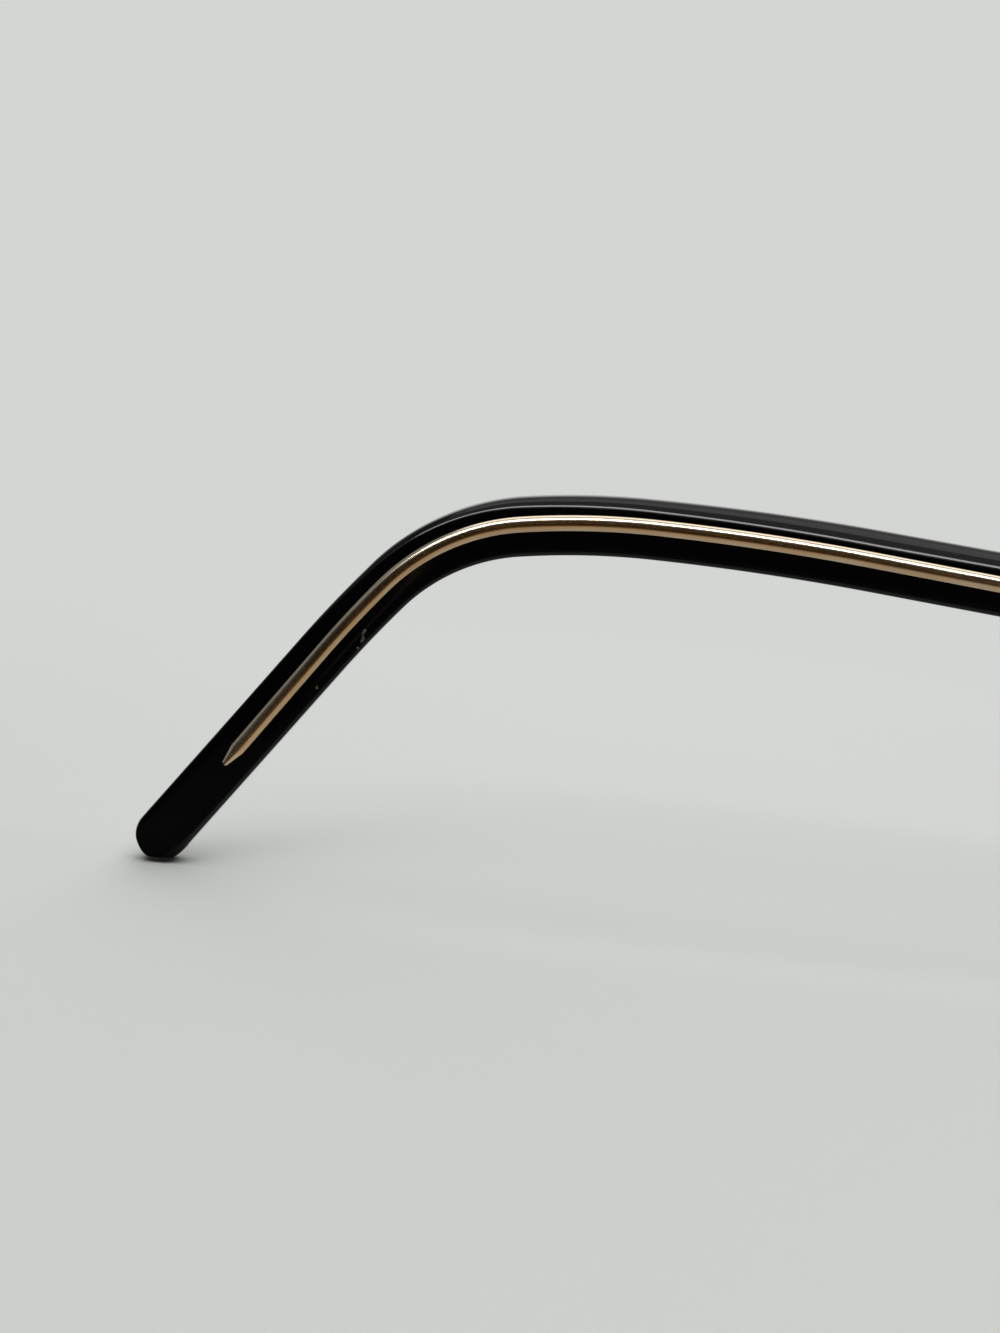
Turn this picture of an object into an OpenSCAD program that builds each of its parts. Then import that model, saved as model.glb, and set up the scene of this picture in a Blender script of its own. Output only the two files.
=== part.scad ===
// A full-rim eyeglass frame, standing open on a table with its front towards -Y.
// The origin is on the table, under the middle of the frame.
// The front is drawn in its own frame: X across, Y back from the lens plane, Z up along it.
// Each temple is drawn from its hinge pin: Y back along the shaft, Z up across it.
// Everything is drawn for the wearer's left side (+X), and mirrored for the right side.

/* [Lenses] */
// Width of one lens
lens_w = 50; // [44:0.5:56]
// Height of one lens
lens_h = 37; // [30:0.5:42]
// Distance between the two lenses
lens_gap = 19; // [16:0.5:22]
// Squareness of the lens outline, where 2 is an ellipse
lens_power = 2.5; // [2.2:0.1:3.2]
// Share by which the lens narrows from its middle to its foot
lens_taper = 0.07; // [0:0.01:0.12]
// Radius of the lens surfaces
lens_r = 130; // [90:5:250]
// Thickness of the lenses
lens_t = 1.6; // [1.2:0.1:2]
// Thickness left at the edge of the lens by its V bevel
lens_edge_t = 0.5; // [0.3:0.1:0.8]
// Angle by which each eye turns back at its outer side
wrap_angle = 4; // [0:0.5:6]

/* [Rims] */
// Width of the rim wire outside the edge of the lens
rim_w = 1.1; // [0.8:0.1:1.6]
// Radius of the rounded outer side of the rim wire
rim_r = 1.5; // [1.4:0.05:1.8]
// Depth of the rim wire from front to back
rim_d = 2.6; // [2.4:0.1:3.2]
// How far the lens sits in the groove of the rim
groove_d = 0.6; // [0.4:0.1:0.8]

/* [Bridge] */
// Height of the bridge ends above the middle of the lenses
bridge_z = 8; // [5:0.5:10]
// Rise of the bridge arch
bridge_rise = 2.6; // [1:0.2:4]
// Distance by which the arch stands forward
bridge_fwd = 1.4; // [0.5:0.1:2.5]
// Height of the bridge bar
bridge_h = 2.2; // [1.6:0.1:3]
// Depth of the bridge bar
bridge_d = 2; // [1.5:0.1:2.6]

/* [End pieces] */
// Height of the hinge above the middle of the lenses
hinge_z = 8; // [6:0.5:10]
// Distance from the rim to the outer face of the temple
end_out = 9; // [8.4:0.2:12]
// Distance from the front face of the end piece back to the hinge pin
end_back = 9.5; // [8:0.5:12]
// Thickness of the end piece
end_t = 1.8; // [1.4:0.1:2.2]
// Outer radius of the end piece where it turns back
end_r = 3.4; // [2.6:0.2:4]
// Height of the end piece at the rim
end_h = 3.8; // [3:0.2:5]
// Difference in height between the sleeve and the end piece at each edge
end_fall = 0.55; // [0.3:0.05:0.8]

/* [Rim locks] */
// Height of each of the two blocks that close the rim
lock_h = 2; // [1.6:0.1:2.6]
// Width of a block across the screw
lock_w = 2.6; // [2.2:0.1:3]
// Gap between the two blocks, and in the rim behind them
lock_gap = 0.3; // [0.2:0.05:0.5]
// Radius of the rim screw
lock_screw_r = 0.6; // [0.5:0.05:0.7]

/* [Hinges] */
// Radius of the hinge knuckles
knuckle_r = 1.45; // [1.3:0.05:1.6]
// Height of one knuckle
knuckle_h = 1.7; // [1.4:0.1:2]
// Gap between knuckles
knuckle_gap = 0.08; // [0.05:0.01:0.15]
// Radius of the hinge screw
pin_r = 0.7; // [0.6:0.05:0.8]
// Radial clearance of the hinge screw in the temple knuckle
pin_clear = 0.05; // [0.03:0.01:0.08]
// Distance from the pin to the inner face of the temple
pin_in = 1.75; // [1.6:0.05:2.2]
// Gap between the end piece and the open temple
butt_gap = 0.1; // [0.06:0.01:0.2]
// Length of the hinge plate along the temple
plate_len = 9; // [7:0.5:12]
// Height of the hinge plate
plate_h = 3.2; // [2.6:0.1:3.6]
// Thickness of the hinge plate
plate_t = 1; // [0.8:0.1:1.2]
// Distance by which the hinge plate stands out of the sleeve
plate_proud = 0.2; // [0.1:0.05:0.3]

/* [Temples] */
// Length of the temple along its core, from the hinge pin to the tip
temple_len = 140; // [132:1:150]
// Angle between the shaft and the square of the front
panto_angle = 8; // [5:0.5:11]
// Radius of the slow arch in the shaft
arch_r = 260; // [200:10:400]
// Turn of the slow arch, in degrees
arch_angle = 4.5; // [3:0.5:7]
// Radius of the lead into the ear bend
lead_r = 78; // [60:2:100]
// Turn of the lead into the ear bend, in degrees
lead_angle = 9.5; // [6:0.5:12]
// Radius of the ear bend
ear_r = 20.5; // [18:0.5:28]
// Turn of the ear bend, in degrees
ear_angle = 41; // [34:1:44]
// Radius of the run-out behind the ear bend
runout_r = 110; // [80:5:150]
// Turn of the run-out, in degrees
runout_angle = 4.5; // [2:0.5:8]
// Length of the straight tip
tip_len = 26.2; // [20:0.2:32]
// Distance by which the tip is drawn in towards the head
tip_in = 5; // [2:0.5:6]
// Thickness of the sleeve
sleeve_t = 3; // [2.6:0.1:3.6]
// Thickness of the sleeve at the tip
sleeve_tip_t = 2.8; // [2.4:0.1:3.4]
// Height of the sleeve above the core at the hinge
up_hinge = 3.4; // [3:0.05:3.6]
// Height of the sleeve above the core before the ear bend
up_arch = 2.6; // [2.3:0.05:2.8]
// Height of the sleeve above the core in the ear bend
up_ear = 2.3; // [2.1:0.05:2.6]
// Height of the sleeve above the core at the tip
up_tip = 2.7; // [2.1:0.05:2.9]
// Depth of the sleeve under the core at the hinge
down_hinge = 2.8; // [2.6:0.05:3.2]
// Depth of the sleeve under the core along the shaft
down_arch = 3.05; // [2.5:0.05:3.1]
// Depth of the sleeve under the core after the ear bend
down_ear = 2.8; // [2.4:0.05:3]
// Depth of the sleeve under the core at the tip
down_tip = 2.4; // [2:0.05:2.6]
// Height of the bevel along the upper edges of the shaft
bevel_h = 1.45; // [1:0.05:1.6]
// Height of that bevel at the ear bend
bevel_ear_h = 1; // [0.8:0.05:1.2]
// Height of the bevel at the tip and along the lower edges
bevel_tip_h = 0.3; // [0.2:0.05:0.6]
// Depth of each bevel as a share of its height
bevel_slope = 0.68; // [0.5:0.02:0.8]

/* [Core] */
// Half height of the flattened core wire, across the sleeve's face
core_r = 0.8; // [0.6:0.01:0.85]
// Half depth of the core wire
core_deep = 0.42; // [0.36:0.01:0.5]
// Distance by which the core stands out of the sleeve
core_proud = 0.28; // [0.14:0.01:0.32]
// Clearance between the core and its channel
core_clear = 0.02; // [0.01:0.01:0.05]
// Distance from the point of the core to the end of the tip
core_end = 11.6; // [8:0.2:16]
// Length of the tapered point of the core
point_len = 2; // [1.4:0.1:3]
// Half width of the blunt end of the point
point_r = 0.3; // [0.2:0.01:0.35]

/* [Nose pads] */
// Length of a nose pad
pad_len = 13.4; // [11:0.2:15]
// Width of a nose pad
pad_w = 7.4; // [6.4:0.2:8.4]
// Thickness of a nose pad
pad_t = 2.4; // [2:0.1:3]
// Distance of the pad screw from the middle plane
pad_x = 10.6; // [9.8:0.1:12]
// Distance of the pad screw behind the lens plane
pad_y = 8; // [7.4:0.1:9]
// Height of the pad screw below the middle of the lenses
pad_z = 5; // [3:0.5:7]
// Angle by which the pads spread towards their feet
pad_front_angle = 18; // [12:1:24]
// Angle by which the pads spread towards the face
pad_splay_angle = 28; // [20:1:34]
// Radius of the pad arm wire
arm_r = 0.5; // [0.4:0.05:0.6]
// Radius of the pad screw
pad_screw_r = 0.4; // [0.35:0.05:0.5]

/* [Hidden] */

gold = [0.83, 0.66, 0.38];
black = [0.02, 0.02, 0.02];
clear_tint = [0.85, 0.9, 0.92, 0.3];

// Clearance between two pieces that are brazed, glued or screwed together
seat = 0.02;
// Clearance of the lens in the groove
lens_clear = 0.06;
// Radial clearance of a screw in a hole that it passes through
screw_clear = 0.03;
// Distance past a face by which a cutter runs
over = 1;
// Stations round the rim, and steps of the round sections
rim_steps = 72;
round_fn = 48;

// Lens outline, as a point and an outward normal in the plane of the lens
function power(v, p) = sign(v) * pow(abs(v), p);
function outline(a) =
    let (z = power(sin(a), 2 / lens_power))
    [lens_w / 2 * power(cos(a), 2 / lens_power) * (1 + lens_taper * min(z, 0)), lens_h / 2 * z];
function outline_normal(a) =
    let (d = outline(a + 0.5) - outline(a - 0.5))
    [d.y, -d.x] / norm(d);
function outline_offset(a, r) = outline(a) + r * outline_normal(a);
// Angle at which the outer side of the outline has a given height
function outline_angle(z) =
    let (s = asin(pow(abs(z) / (lens_h / 2), lens_power / 2)))
    z < 0 ? -s : s;

// From the plane of a lens to the front, with the base curve and the wrap
lens_x = (lens_w + lens_gap) / 2;
function bowed(p, d) = [p.x, d + (p.x * p.x + p.y * p.y) / (2 * lens_r), p.y];
function wrapped(q) = [
    lens_x + q.x * cos(wrap_angle) - q.y * sin(wrap_angle),
    q.x * sin(wrap_angle) + q.y * cos(wrap_angle),
    q.z
];
// A point of the section at angle a: r outwards along the bowed surface, and d back from it
function on_rim(a, r, d) =
    let (p = outline(a), n = outline_normal(a), slope = p * n / lens_r, k = 1 / sqrt(1 + slope * slope))
    wrapped(bowed(p, 0) + r * k * [n.x, slope, n.y] + d * k * [-slope * n.x, 1, -slope * n.y]);

// End piece and hinge, in the front's frame
end_a = outline_angle(hinge_z);
end_root = on_rim(end_a, rim_w, 0);
end_face_y = end_root.y - end_t / 2;
end_outer_x = end_root.x + end_out;
pin_x = end_outer_x - sleeve_t - pin_in;
pin_y = end_face_y + end_back;
pin_at = [pin_x, pin_y, hinge_z];

// Rim locks: the blocks lie under the end piece, with the split of the rim between them
lock_top = hinge_z - end_h / 2 - seat;
split_z = lock_top - lock_h - lock_gap / 2;
split_a = outline_angle(split_z);
split_half = lock_gap / 2 / norm(outline(split_a + 0.5) - outline(split_a - 0.5));
lock_root = on_rim(split_a, rim_w, 0);
lock_screw_at = [lock_root.x + lock_w / 2 - 0.1, lock_root.y, 0];

// Temple core line: runs of length and turn, walked from the hinge pin
function arc_len(r, a) = r * a * PI / 180;
turns_len = arc_len(arch_r, arch_angle) + arc_len(lead_r, lead_angle) + arc_len(ear_r, ear_angle)
    + arc_len(runout_r, runout_angle) + tip_len;
shaft_len = temple_len - turns_len;
runs = [
    [shaft_len, 0],
    [arc_len(arch_r, arch_angle), arch_angle],
    [arc_len(lead_r, lead_angle), lead_angle],
    [arc_len(ear_r, ear_angle), ear_angle],
    [arc_len(runout_r, runout_angle), runout_angle],
    [tip_len, 0]
];
// Point (y, z) and downward slope after s along the runs
function step_along(at, len, turn) =
    let (
        mid = at.z + turn / 2,
        half = turn / 2 * PI / 180,
        chord = abs(turn) < 0.001 ? len : len * sin(turn / 2) / half
    )
    [at.x + chord * cos(mid), at.y - chord * sin(mid), at.z + turn];
function walk(s, at = [0, 0, 0], i = 0) =
    i == len(runs) - 1 || s <= runs[i].x
        ? step_along(at, s, runs[i].x > 0 ? runs[i].y * s / runs[i].x : 0)
        : walk(s - runs[i].x, step_along(at, runs[i].x, runs[i].y), i + 1);
// Where each run starts
arch_s = shaft_len;
lead_s = arch_s + runs[1].x;
ear_s = lead_s + runs[2].x;
runout_s = ear_s + runs[3].x;
tip_s = runout_s + runs[4].x;
point_s = temple_len - core_end;

// Middle plane of the sleeve, out from the pin
sleeve_x = pin_in + sleeve_t / 2;
// Inward draw of the temple, which starts at the lead into the ear bend
function drawn_in(s) = -tip_in * pow(max(0, s - lead_s) / (temple_len - lead_s), 2);
function core_point(s) = let (w = walk(s)) [sleeve_x + drawn_in(s), w.x, w.y];
function unit(v) = v / norm(v);
function core_tangent(s) = unit(core_point(s + 0.05) - core_point(s - 0.05));
function core_up(s) = let (a = walk(s).z) [0, sin(a), cos(a)];
function core_out(s) = unit(cross(core_tangent(s), core_up(s)));
// A point of the section at s: o outwards and u up from the middle of the sleeve
function on_core(s, o, u) = core_point(s) + o * core_out(s) + u * core_up(s);

function mix(a, b, t) = a + (b - a) * max(0, min(1, t));
function share(s, from, to) = (s - from) / (to - from);
function up_at(s) = s < arch_s ? mix(up_hinge, up_arch, s / lead_s)
    : s < ear_s ? mix(mix(up_hinge, up_arch, s / lead_s), up_arch, share(s, arch_s, ear_s))
    : s < runout_s ? mix(up_arch, up_ear, share(s, ear_s, runout_s))
    : mix(up_ear, up_tip, share(s, runout_s, temple_len));
function down_at(s) = s < ear_s ? mix(down_hinge, down_arch, s / lead_s)
    : s < runout_s ? mix(down_arch, down_ear, share(s, ear_s, runout_s))
    : mix(down_ear, down_tip, share(s, runout_s, temple_len));
function bevel_at(s) = s < ear_s ? mix(bevel_h, bevel_ear_h, share(s, shaft_len, ear_s))
    : mix(bevel_ear_h, bevel_tip_h, share(s, ear_s, tip_s));
function thick_at(s) = mix(sleeve_t, sleeve_tip_t, share(s, ear_s, temple_len));

// Standing pose: tilts of the shaft and of the front, with the rims and the tips on the table
rim_foot = on_rim(-90, rim_w - rim_r, 0) - pin_at;
tip_round = up_tip / 2 + down_tip / 2;
tip_centre = let (w = walk(temple_len - tip_round)) [w.x, w.y] + (up_tip - down_tip) / 2
    * [sin(w.z), cos(w.z)];
stand_s = tip_centre.x - rim_foot.y * cos(panto_angle) + rim_foot.z * sin(panto_angle);
stand_c = tip_centre.y - rim_foot.y * sin(panto_angle) - rim_foot.z * cos(panto_angle);
tip_foot = tip_round + (sleeve_tip_t / 2 - bevel_tip_h * bevel_slope) * abs(core_out(temple_len).z);
shaft_tilt = asin((tip_foot - rim_r) / norm([stand_s, stand_c])) - atan2(stand_c, stand_s);
front_tilt = shaft_tilt + panto_angle;
function raised(p, tilt) = [p.x, p.y * cos(tilt) - p.z * sin(tilt), p.y * sin(tilt) + p.z * cos(tilt)];
pin_height = tip_foot - (tip_centre.x * sin(shaft_tilt) + tip_centre.y * cos(shaft_tilt));
// Middle of the frame from front to back
foremost = min([for (a = [0:5:180]) raised(on_rim(a, rim_w / 2, -rim_d / 2) - pin_at, front_tilt).y]);
hindmost = tip_round + tip_centre.x * cos(shaft_tilt) - tip_centre.y * sin(shaft_tilt);
pin_back = -(foremost + hindmost) / 2;

module front_place() {
    translate([0, pin_back, pin_height]) rotate([front_tilt, 0, 0]) translate([0, -pin_y, -hinge_z]) children();
}
module temple_place() {
    translate([pin_x, pin_back, pin_height]) rotate([shaft_tilt, 0, 0]) children();
}
module hinge_place() {
    front_place() translate(pin_at) children();
}
module sided(right) {
    if (right) mirror([1, 0, 0]) children();
    else children();
}

// Skin over rings of points, open with end caps or closed on itself
module skin(rings, closed = false) {
    n = len(rings[0]);
    m = len(rings);
    sides = [
        for (i = [0:m - (closed ? 1 : 2)], j = [0:n - 1])
            let (a = i * n + j, b = i * n + (j + 1) % n, k = (i + 1) % m)
            each [[a, b, k * n + (j + 1) % n], [a, k * n + (j + 1) % n, k * n + j]]
    ];
    caps = closed ? [] : [[for (j = [n - 1:-1:0]) j], [for (j = [0:n - 1]) (m - 1) * n + j]];
    polyhedron(points = [for (r = rings) each r], faces = concat(sides, caps));
}

// Rim: a grooved wire that follows the lens, split at the lock
lip_in = -groove_d;
groove_half = lens_t / 2 + lens_clear;
groove_floor_half = lens_edge_t / 2 + lens_clear;
rim_round = 0.3;
rim_bend = asin(rim_d / 2 / rim_r);
rim_section = concat(
    [for (i = [-3:3]) let (a = i / 3 * rim_bend) [rim_w - rim_r + rim_r * cos(a), rim_r * sin(a)]],
    [
        [lip_in + rim_round, rim_d / 2], [lip_in, rim_d / 2 - rim_round / 2], [lip_in, groove_half],
        [lens_clear, groove_floor_half], [lens_clear, -groove_floor_half],
        [lip_in, -groove_half], [lip_in, -rim_d / 2 + rim_round / 2], [lip_in + rim_round, -rim_d / 2]
    ]
);
module rim() {
    color(gold) skin([
        for (i = [rim_steps:-1:0])
            let (a = split_a + split_half + (360 - 2 * split_half) * i / rim_steps)
            [for (p = rim_section) on_rim(a, p.x, p.y)]
    ]);
}
// Cutter for a saddle: a straight run of the rim's rounded outer side at angle a
module rim_saddle(a, len) {
    at = on_rim(a, rim_w - rim_r, 0);
    dir = unit(on_rim(a + 1, rim_w - rim_r, 0) - on_rim(a - 1, rim_w - rim_r, 0));
    translate(at) rotate([0, acos(dir.z), atan2(dir.y, dir.x)])
        cylinder(r = rim_r + seat, h = len, center = true, $fn = round_fn);
}

// Lens: two bowed faces, with a V bevel round the edge
module lens() {
    lip = -groove_d - lens_clear;
    shares = [0.04, 0.35, 0.68];
    color(clear_tint) skin(concat(
        [for (k = shares) lens_face(k, lip, -lens_t / 2)],
        [lens_edge(lip, -lens_t / 2), lens_edge(0, -lens_edge_t / 2), lens_edge(0, lens_edge_t / 2),
            lens_edge(lip, lens_t / 2)],
        [for (i = [len(shares) - 1:-1:0]) lens_face(shares[i], lip, lens_t / 2)]
    ));
}
function lens_face(k, r, d) =
    [for (i = [0:rim_steps - 1]) wrapped(bowed(k * outline_offset(360 * i / rim_steps, r), d))];
function lens_edge(r, d) = [for (i = [0:rim_steps - 1]) on_rim(360 * i / rim_steps, r, d)];

// Bridge: an oval bar on an arch, with saddles that seat on the two rims
bridge_a = 180 - outline_angle(bridge_z);
bridge_root = on_rim(bridge_a, rim_w / 2, 0);
module bridge() {
    steps = 24;
    color(gold) difference() {
        skin([
            for (i = [0:steps])
                let (
                    t = 2 * i / steps - 1,
                    at = [t * bridge_root.x, bridge_root.y - bridge_fwd * (1 - t * t),
                        bridge_z + bridge_rise * (1 - t * t)],
                    lean = atan2(-2 * bridge_rise * t, bridge_root.x)
                )
                [for (a = [0:30:330]) at + [-sin(lean) * bridge_h / 2 * cos(a), bridge_d / 2 * sin(a),
                    cos(lean) * bridge_h / 2 * cos(a)]]
        ]);
        for (right = [false, true]) sided(right) rim_saddle(bridge_a, 6 * bridge_h);
    }
}

// End piece: a strip that leaves the rim, turns back and grows to the height of the sleeve
module end_plan() {
    arm_y = end_face_y + end_r;
    translate([end_root.x - rim_w, end_face_y]) square([end_out + rim_w - end_r, end_t]);
    translate([end_outer_x - end_t, arm_y]) square([end_t, pin_y - butt_gap / 2 - arm_y]);
    translate([end_outer_x - end_r, arm_y]) intersection() {
        difference() {
            circle(end_r, $fn = round_fn);
            circle(end_r - end_t, $fn = round_fn);
        }
        translate([0, -end_r]) square(end_r);
    }
}
module end_side() {
    arm_y = end_face_y + end_r;
    polygon([
        [end_face_y - over, hinge_z - end_h / 2], [arm_y, hinge_z - end_h / 2],
        [pin_y - over, hinge_z - down_hinge + end_fall], [pin_y, hinge_z - down_hinge + end_fall],
        [pin_y, hinge_z + up_hinge - end_fall], [pin_y - over, hinge_z + up_hinge - end_fall],
        [arm_y, hinge_z + end_h / 2], [end_face_y - over, hinge_z + end_h / 2]
    ]);
}
module end_piece() {
    color(gold) difference() {
        intersection() {
            translate([0, 0, hinge_z - up_hinge - over]) linear_extrude(2 * (up_hinge + over)) end_plan();
            translate([end_root.x - rim_w - over, 0, 0]) rotate([90, 0, 90])
                linear_extrude(end_out + rim_w + 2 * over) end_side();
        }
        rim_saddle(end_a, 4 * end_h);
    }
}

// Rim lock: two blocks on the split ends of the rim, drawn together by a screw
module lock_block(bottom, hole_r) {
    color(gold) difference() {
        translate([0, 0, bottom]) linear_extrude(lock_h) {
            translate([lock_screw_at.x, lock_screw_at.y]) circle(lock_w / 2, $fn = round_fn);
            translate([lock_root.x - rim_w, lock_screw_at.y - lock_w / 2])
                square([lock_screw_at.x - lock_root.x + rim_w, lock_w]);
        }
        translate([lock_screw_at.x, lock_screw_at.y, bottom - over])
            cylinder(r = hole_r, h = lock_h + 2 * over, $fn = round_fn);
        rim_saddle(outline_angle(bottom + lock_h / 2), 4 * lock_h);
    }
}
module rim_lock_upper() {
    lock_block(lock_top - lock_h, lock_screw_r + seat);
}
module rim_lock_lower() {
    lock_block(lock_top - 2 * lock_h - lock_gap, lock_screw_r + screw_clear);
}

// Slotted screw: the shank runs up from the underside of its head
module slotted_screw(r, len, head_r, head_h) {
    slot_w = 0.3 * head_r;
    slot_depth = 0.45 * head_h;
    color(gold) difference() {
        union() {
            cylinder(r = r, h = len, $fn = round_fn);
            translate([0, 0, -head_h]) cylinder(r = head_r, h = head_h, $fn = round_fn);
        }
        translate([-head_r - over, -slot_w / 2, -head_h - over])
            cube([2 * (head_r + over), slot_w, slot_depth + over]);
    }
}
module rim_screw() {
    translate([lock_screw_at.x, lock_screw_at.y, lock_top - 2 * lock_h - lock_gap - seat])
        slotted_screw(lock_screw_r, 2 * lock_h + lock_gap - 0.1, lock_w / 2 - 0.25, 0.6);
}

// Hinge: two knuckles on the end piece hold one on the temple, round the screw
plate_start = 1.2;
plate_end = plate_start + plate_len;
plate_depth = plate_t - plate_proud;
pitch = knuckle_h + knuckle_gap;
module knuckle(hole_r) {
    difference() {
        children();
        translate([0, 0, -2 * pitch]) cylinder(r = hole_r, h = 4 * pitch, $fn = round_fn);
    }
}
module front_hinge() {
    web = 3;
    color(gold) knuckle(pin_r + seat) for (level = [-1, 1]) translate([0, 0, level * pitch - knuckle_h / 2]) {
        cylinder(r = knuckle_r, h = knuckle_h, $fn = round_fn);
        translate([0, -web, 0]) cube([pin_in + sleeve_t - end_t - seat, web - butt_gap / 2, knuckle_h]);
    }
}
module hinge_screw() {
    head_h = 0.7;
    rotate([180, 0, 0]) translate([0, 0, -1.5 * pitch - seat + knuckle_gap / 2])
        slotted_screw(pin_r, 3 * pitch + 0.2, knuckle_r - 0.25, head_h);
}
module temple_hinge() {
    web = 2.6;
    color(gold) union() {
        knuckle(pin_r + pin_clear) translate([0, 0, -knuckle_h / 2]) {
            cylinder(r = knuckle_r, h = knuckle_h, $fn = round_fn);
            translate([0, butt_gap / 2, 0]) cube([pin_in, web, knuckle_h]);
        }
        rotate([-panto_angle, 0, 0]) translate([pin_in - plate_proud, plate_start, -plate_h / 2])
            cube([plate_t, plate_len, plate_h]);
    }
}

// Core: an oval wire laid in the inner face, which ends in a blunt point
core_o = core_deep - core_proud;
function core_ring(s, half, deep) = [
    for (a = [0:30:330]) on_core(s, core_o - thick_at(s) / 2 - deep * cos(a), -half * sin(a))
];
module core_wire() {
    stations = concat(
        [plate_end + seat, shaft_len], stretch(arch_s, ear_s, 8), stretch(ear_s, runout_s, 12),
        stretch(runout_s, point_s - point_len, 6)
    );
    color(gold) skin(concat(
        [for (s = stations) core_ring(s, core_r, core_deep)],
        [core_ring(point_s, point_r, core_deep * 0.7)]
    ));
}
// Stations after a, up to b
function stretch(a, b, n) = [for (i = [1:n]) a + (b - a) * i / n];

// Sleeve: a bevelled bar with a channel for the core and a pocket for the hinge plate
// Its points run over the bottom of the channel, oval for the core or square for the plate
channel_steps = 8;
function channel_bottom(i, half, deep, square) =
    let (a = 30 * (i - channel_steps / 2))
    square ? [deep, half * max(-1, min(1, a / 90))] : [core_o + (deep - core_o) * cos(a), half * sin(a)];
function channel(half, deep, square) = concat(
    [[0, -half]],
    [for (i = [1:channel_steps - 1]) channel_bottom(i, half, deep, square)],
    [[0, half]]
);
// Share of the sleeve's height that its flat face keeps at the tip, where the bevel goes round the end
function face_left(cap) = max(sqrt(max(0, pow(1 - bevel_tip_h / tip_round, 2) - cap * cap)), 0.5 * sqrt(1 - cap * cap));
function sleeve_ring(s, half, deep, square = false, shear = 0, cap = 0) =
    let (
        t = thick_at(s) / 2,
        shrink = sqrt(1 - cap * cap),
        height = (up_at(s) + down_at(s)) / 2,
        middle = cap == 0 ? 0 : (up_at(s) - down_at(s)) / 2,
        up = cap == 0 ? up_at(s) : middle + height * shrink,
        down = cap == 0 ? down_at(s) : height * shrink - middle,
        bevel_up = bevel_at(s),
        deep_up = bevel_up * bevel_slope,
        deep_down = bevel_tip_h * bevel_slope,
        past = max(0, (cap - 1) * tip_round / bevel_tip_h + 1),
        thin = t - deep_down * past,
        left = face_left(cap),
        face_up = cap == 0 ? up - bevel_up : middle + height * left,
        face_down = cap == 0 ? down - bevel_tip_h : height * left - middle,
        body = [[-thin, -face_down], [-t + deep_down, -down], [t - deep_down, -down], [thin, -face_down],
            [thin, face_up], [t - deep_up, up], [-t + deep_up, up], [-thin, face_up]],
        slit = cap == 0 ? half : min(half, (face_up + face_down) * 0.4),
        groove = [for (c = channel(slit, deep, square)) [-thin + c.x, middle - c.y]]
    )
    [for (p = concat(body, groove)) on_core(s - p.y * shear, p.x, p.y)];
face_turn = asin(1 - bevel_tip_h / tip_round);
tip_turns = concat([for (i = [0:6]) face_turn * i / 6], [for (i = [1:4]) mix(face_turn, 84, i / 4)]);
module temple_sleeve() {
    half = core_r + core_clear;
    deep = core_o + core_deep + core_clear;
    blunt = point_r + core_clear;
    shut = 0.004;
    cap_s = temple_len - tip_round;
    body_stations = concat(
        [plate_end + 0.05, shaft_len], stretch(arch_s, ear_s, 8), stretch(ear_s, runout_s, 12),
        stretch(runout_s, point_s - point_len, 6)
    );
    color(black) skin(concat(
        [
            sleeve_ring(butt_gap / 2, plate_h / 2 - 0.1, shut, true, tan(panto_angle)),
            sleeve_ring(plate_start - seat - 0.05, plate_h / 2 - 0.1, shut, true),
            sleeve_ring(plate_start - seat, plate_h / 2 + seat, plate_depth + seat, true),
            sleeve_ring(plate_end + seat, plate_h / 2 + seat, plate_depth + seat, true)
        ],
        [for (s = body_stations) sleeve_ring(s, half, deep)],
        [
            sleeve_ring(point_s + seat, blunt, core_o + core_deep * 0.7 + core_clear),
            sleeve_ring(point_s + seat + 0.05, blunt, shut, true)
        ],
        [for (a = tip_turns) sleeve_ring(cap_s + tip_round * sin(a), blunt, shut, true, 0, sin(a))]
    ));
}

// Nose pad, its box and its screw, in the frame of the pad: X away from the nose, Z along the pad
box_w = 2.2;
box_wall = 0.5;
tab_clear = 0.1;
module pad_place() {
    front_place() translate([pad_x, pad_y, -pad_z]) rotate([0, -pad_front_angle, -pad_splay_angle]) children();
}
tab_r = 0.9;
pad_back = 1.7;
module pad_box() {
    slot_w = box_w - 2 * box_wall;
    color(gold) difference() {
        translate([-tab_r, -box_w / 2, -tab_r - tab_clear]) cube([2 * tab_r + box_wall, box_w, 2 * (tab_r + tab_clear)]);
        translate([-tab_r - over, -slot_w / 2, -tab_r - over])
            cube([2 * tab_r + tab_clear + over, slot_w, 2 * (tab_r + over)]);
        translate([0, over + box_w / 2, 0]) rotate([90, 0, 0])
            cylinder(r = pad_screw_r + seat, h = box_w + 2 * over, $fn = round_fn);
    }
}
module pad_screw() {
    translate([0, -box_w / 2 - seat, 0]) rotate([-90, 0, 0])
        slotted_screw(pad_screw_r, box_w + 0.2, tab_r - 0.2, 0.4);
}
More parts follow.
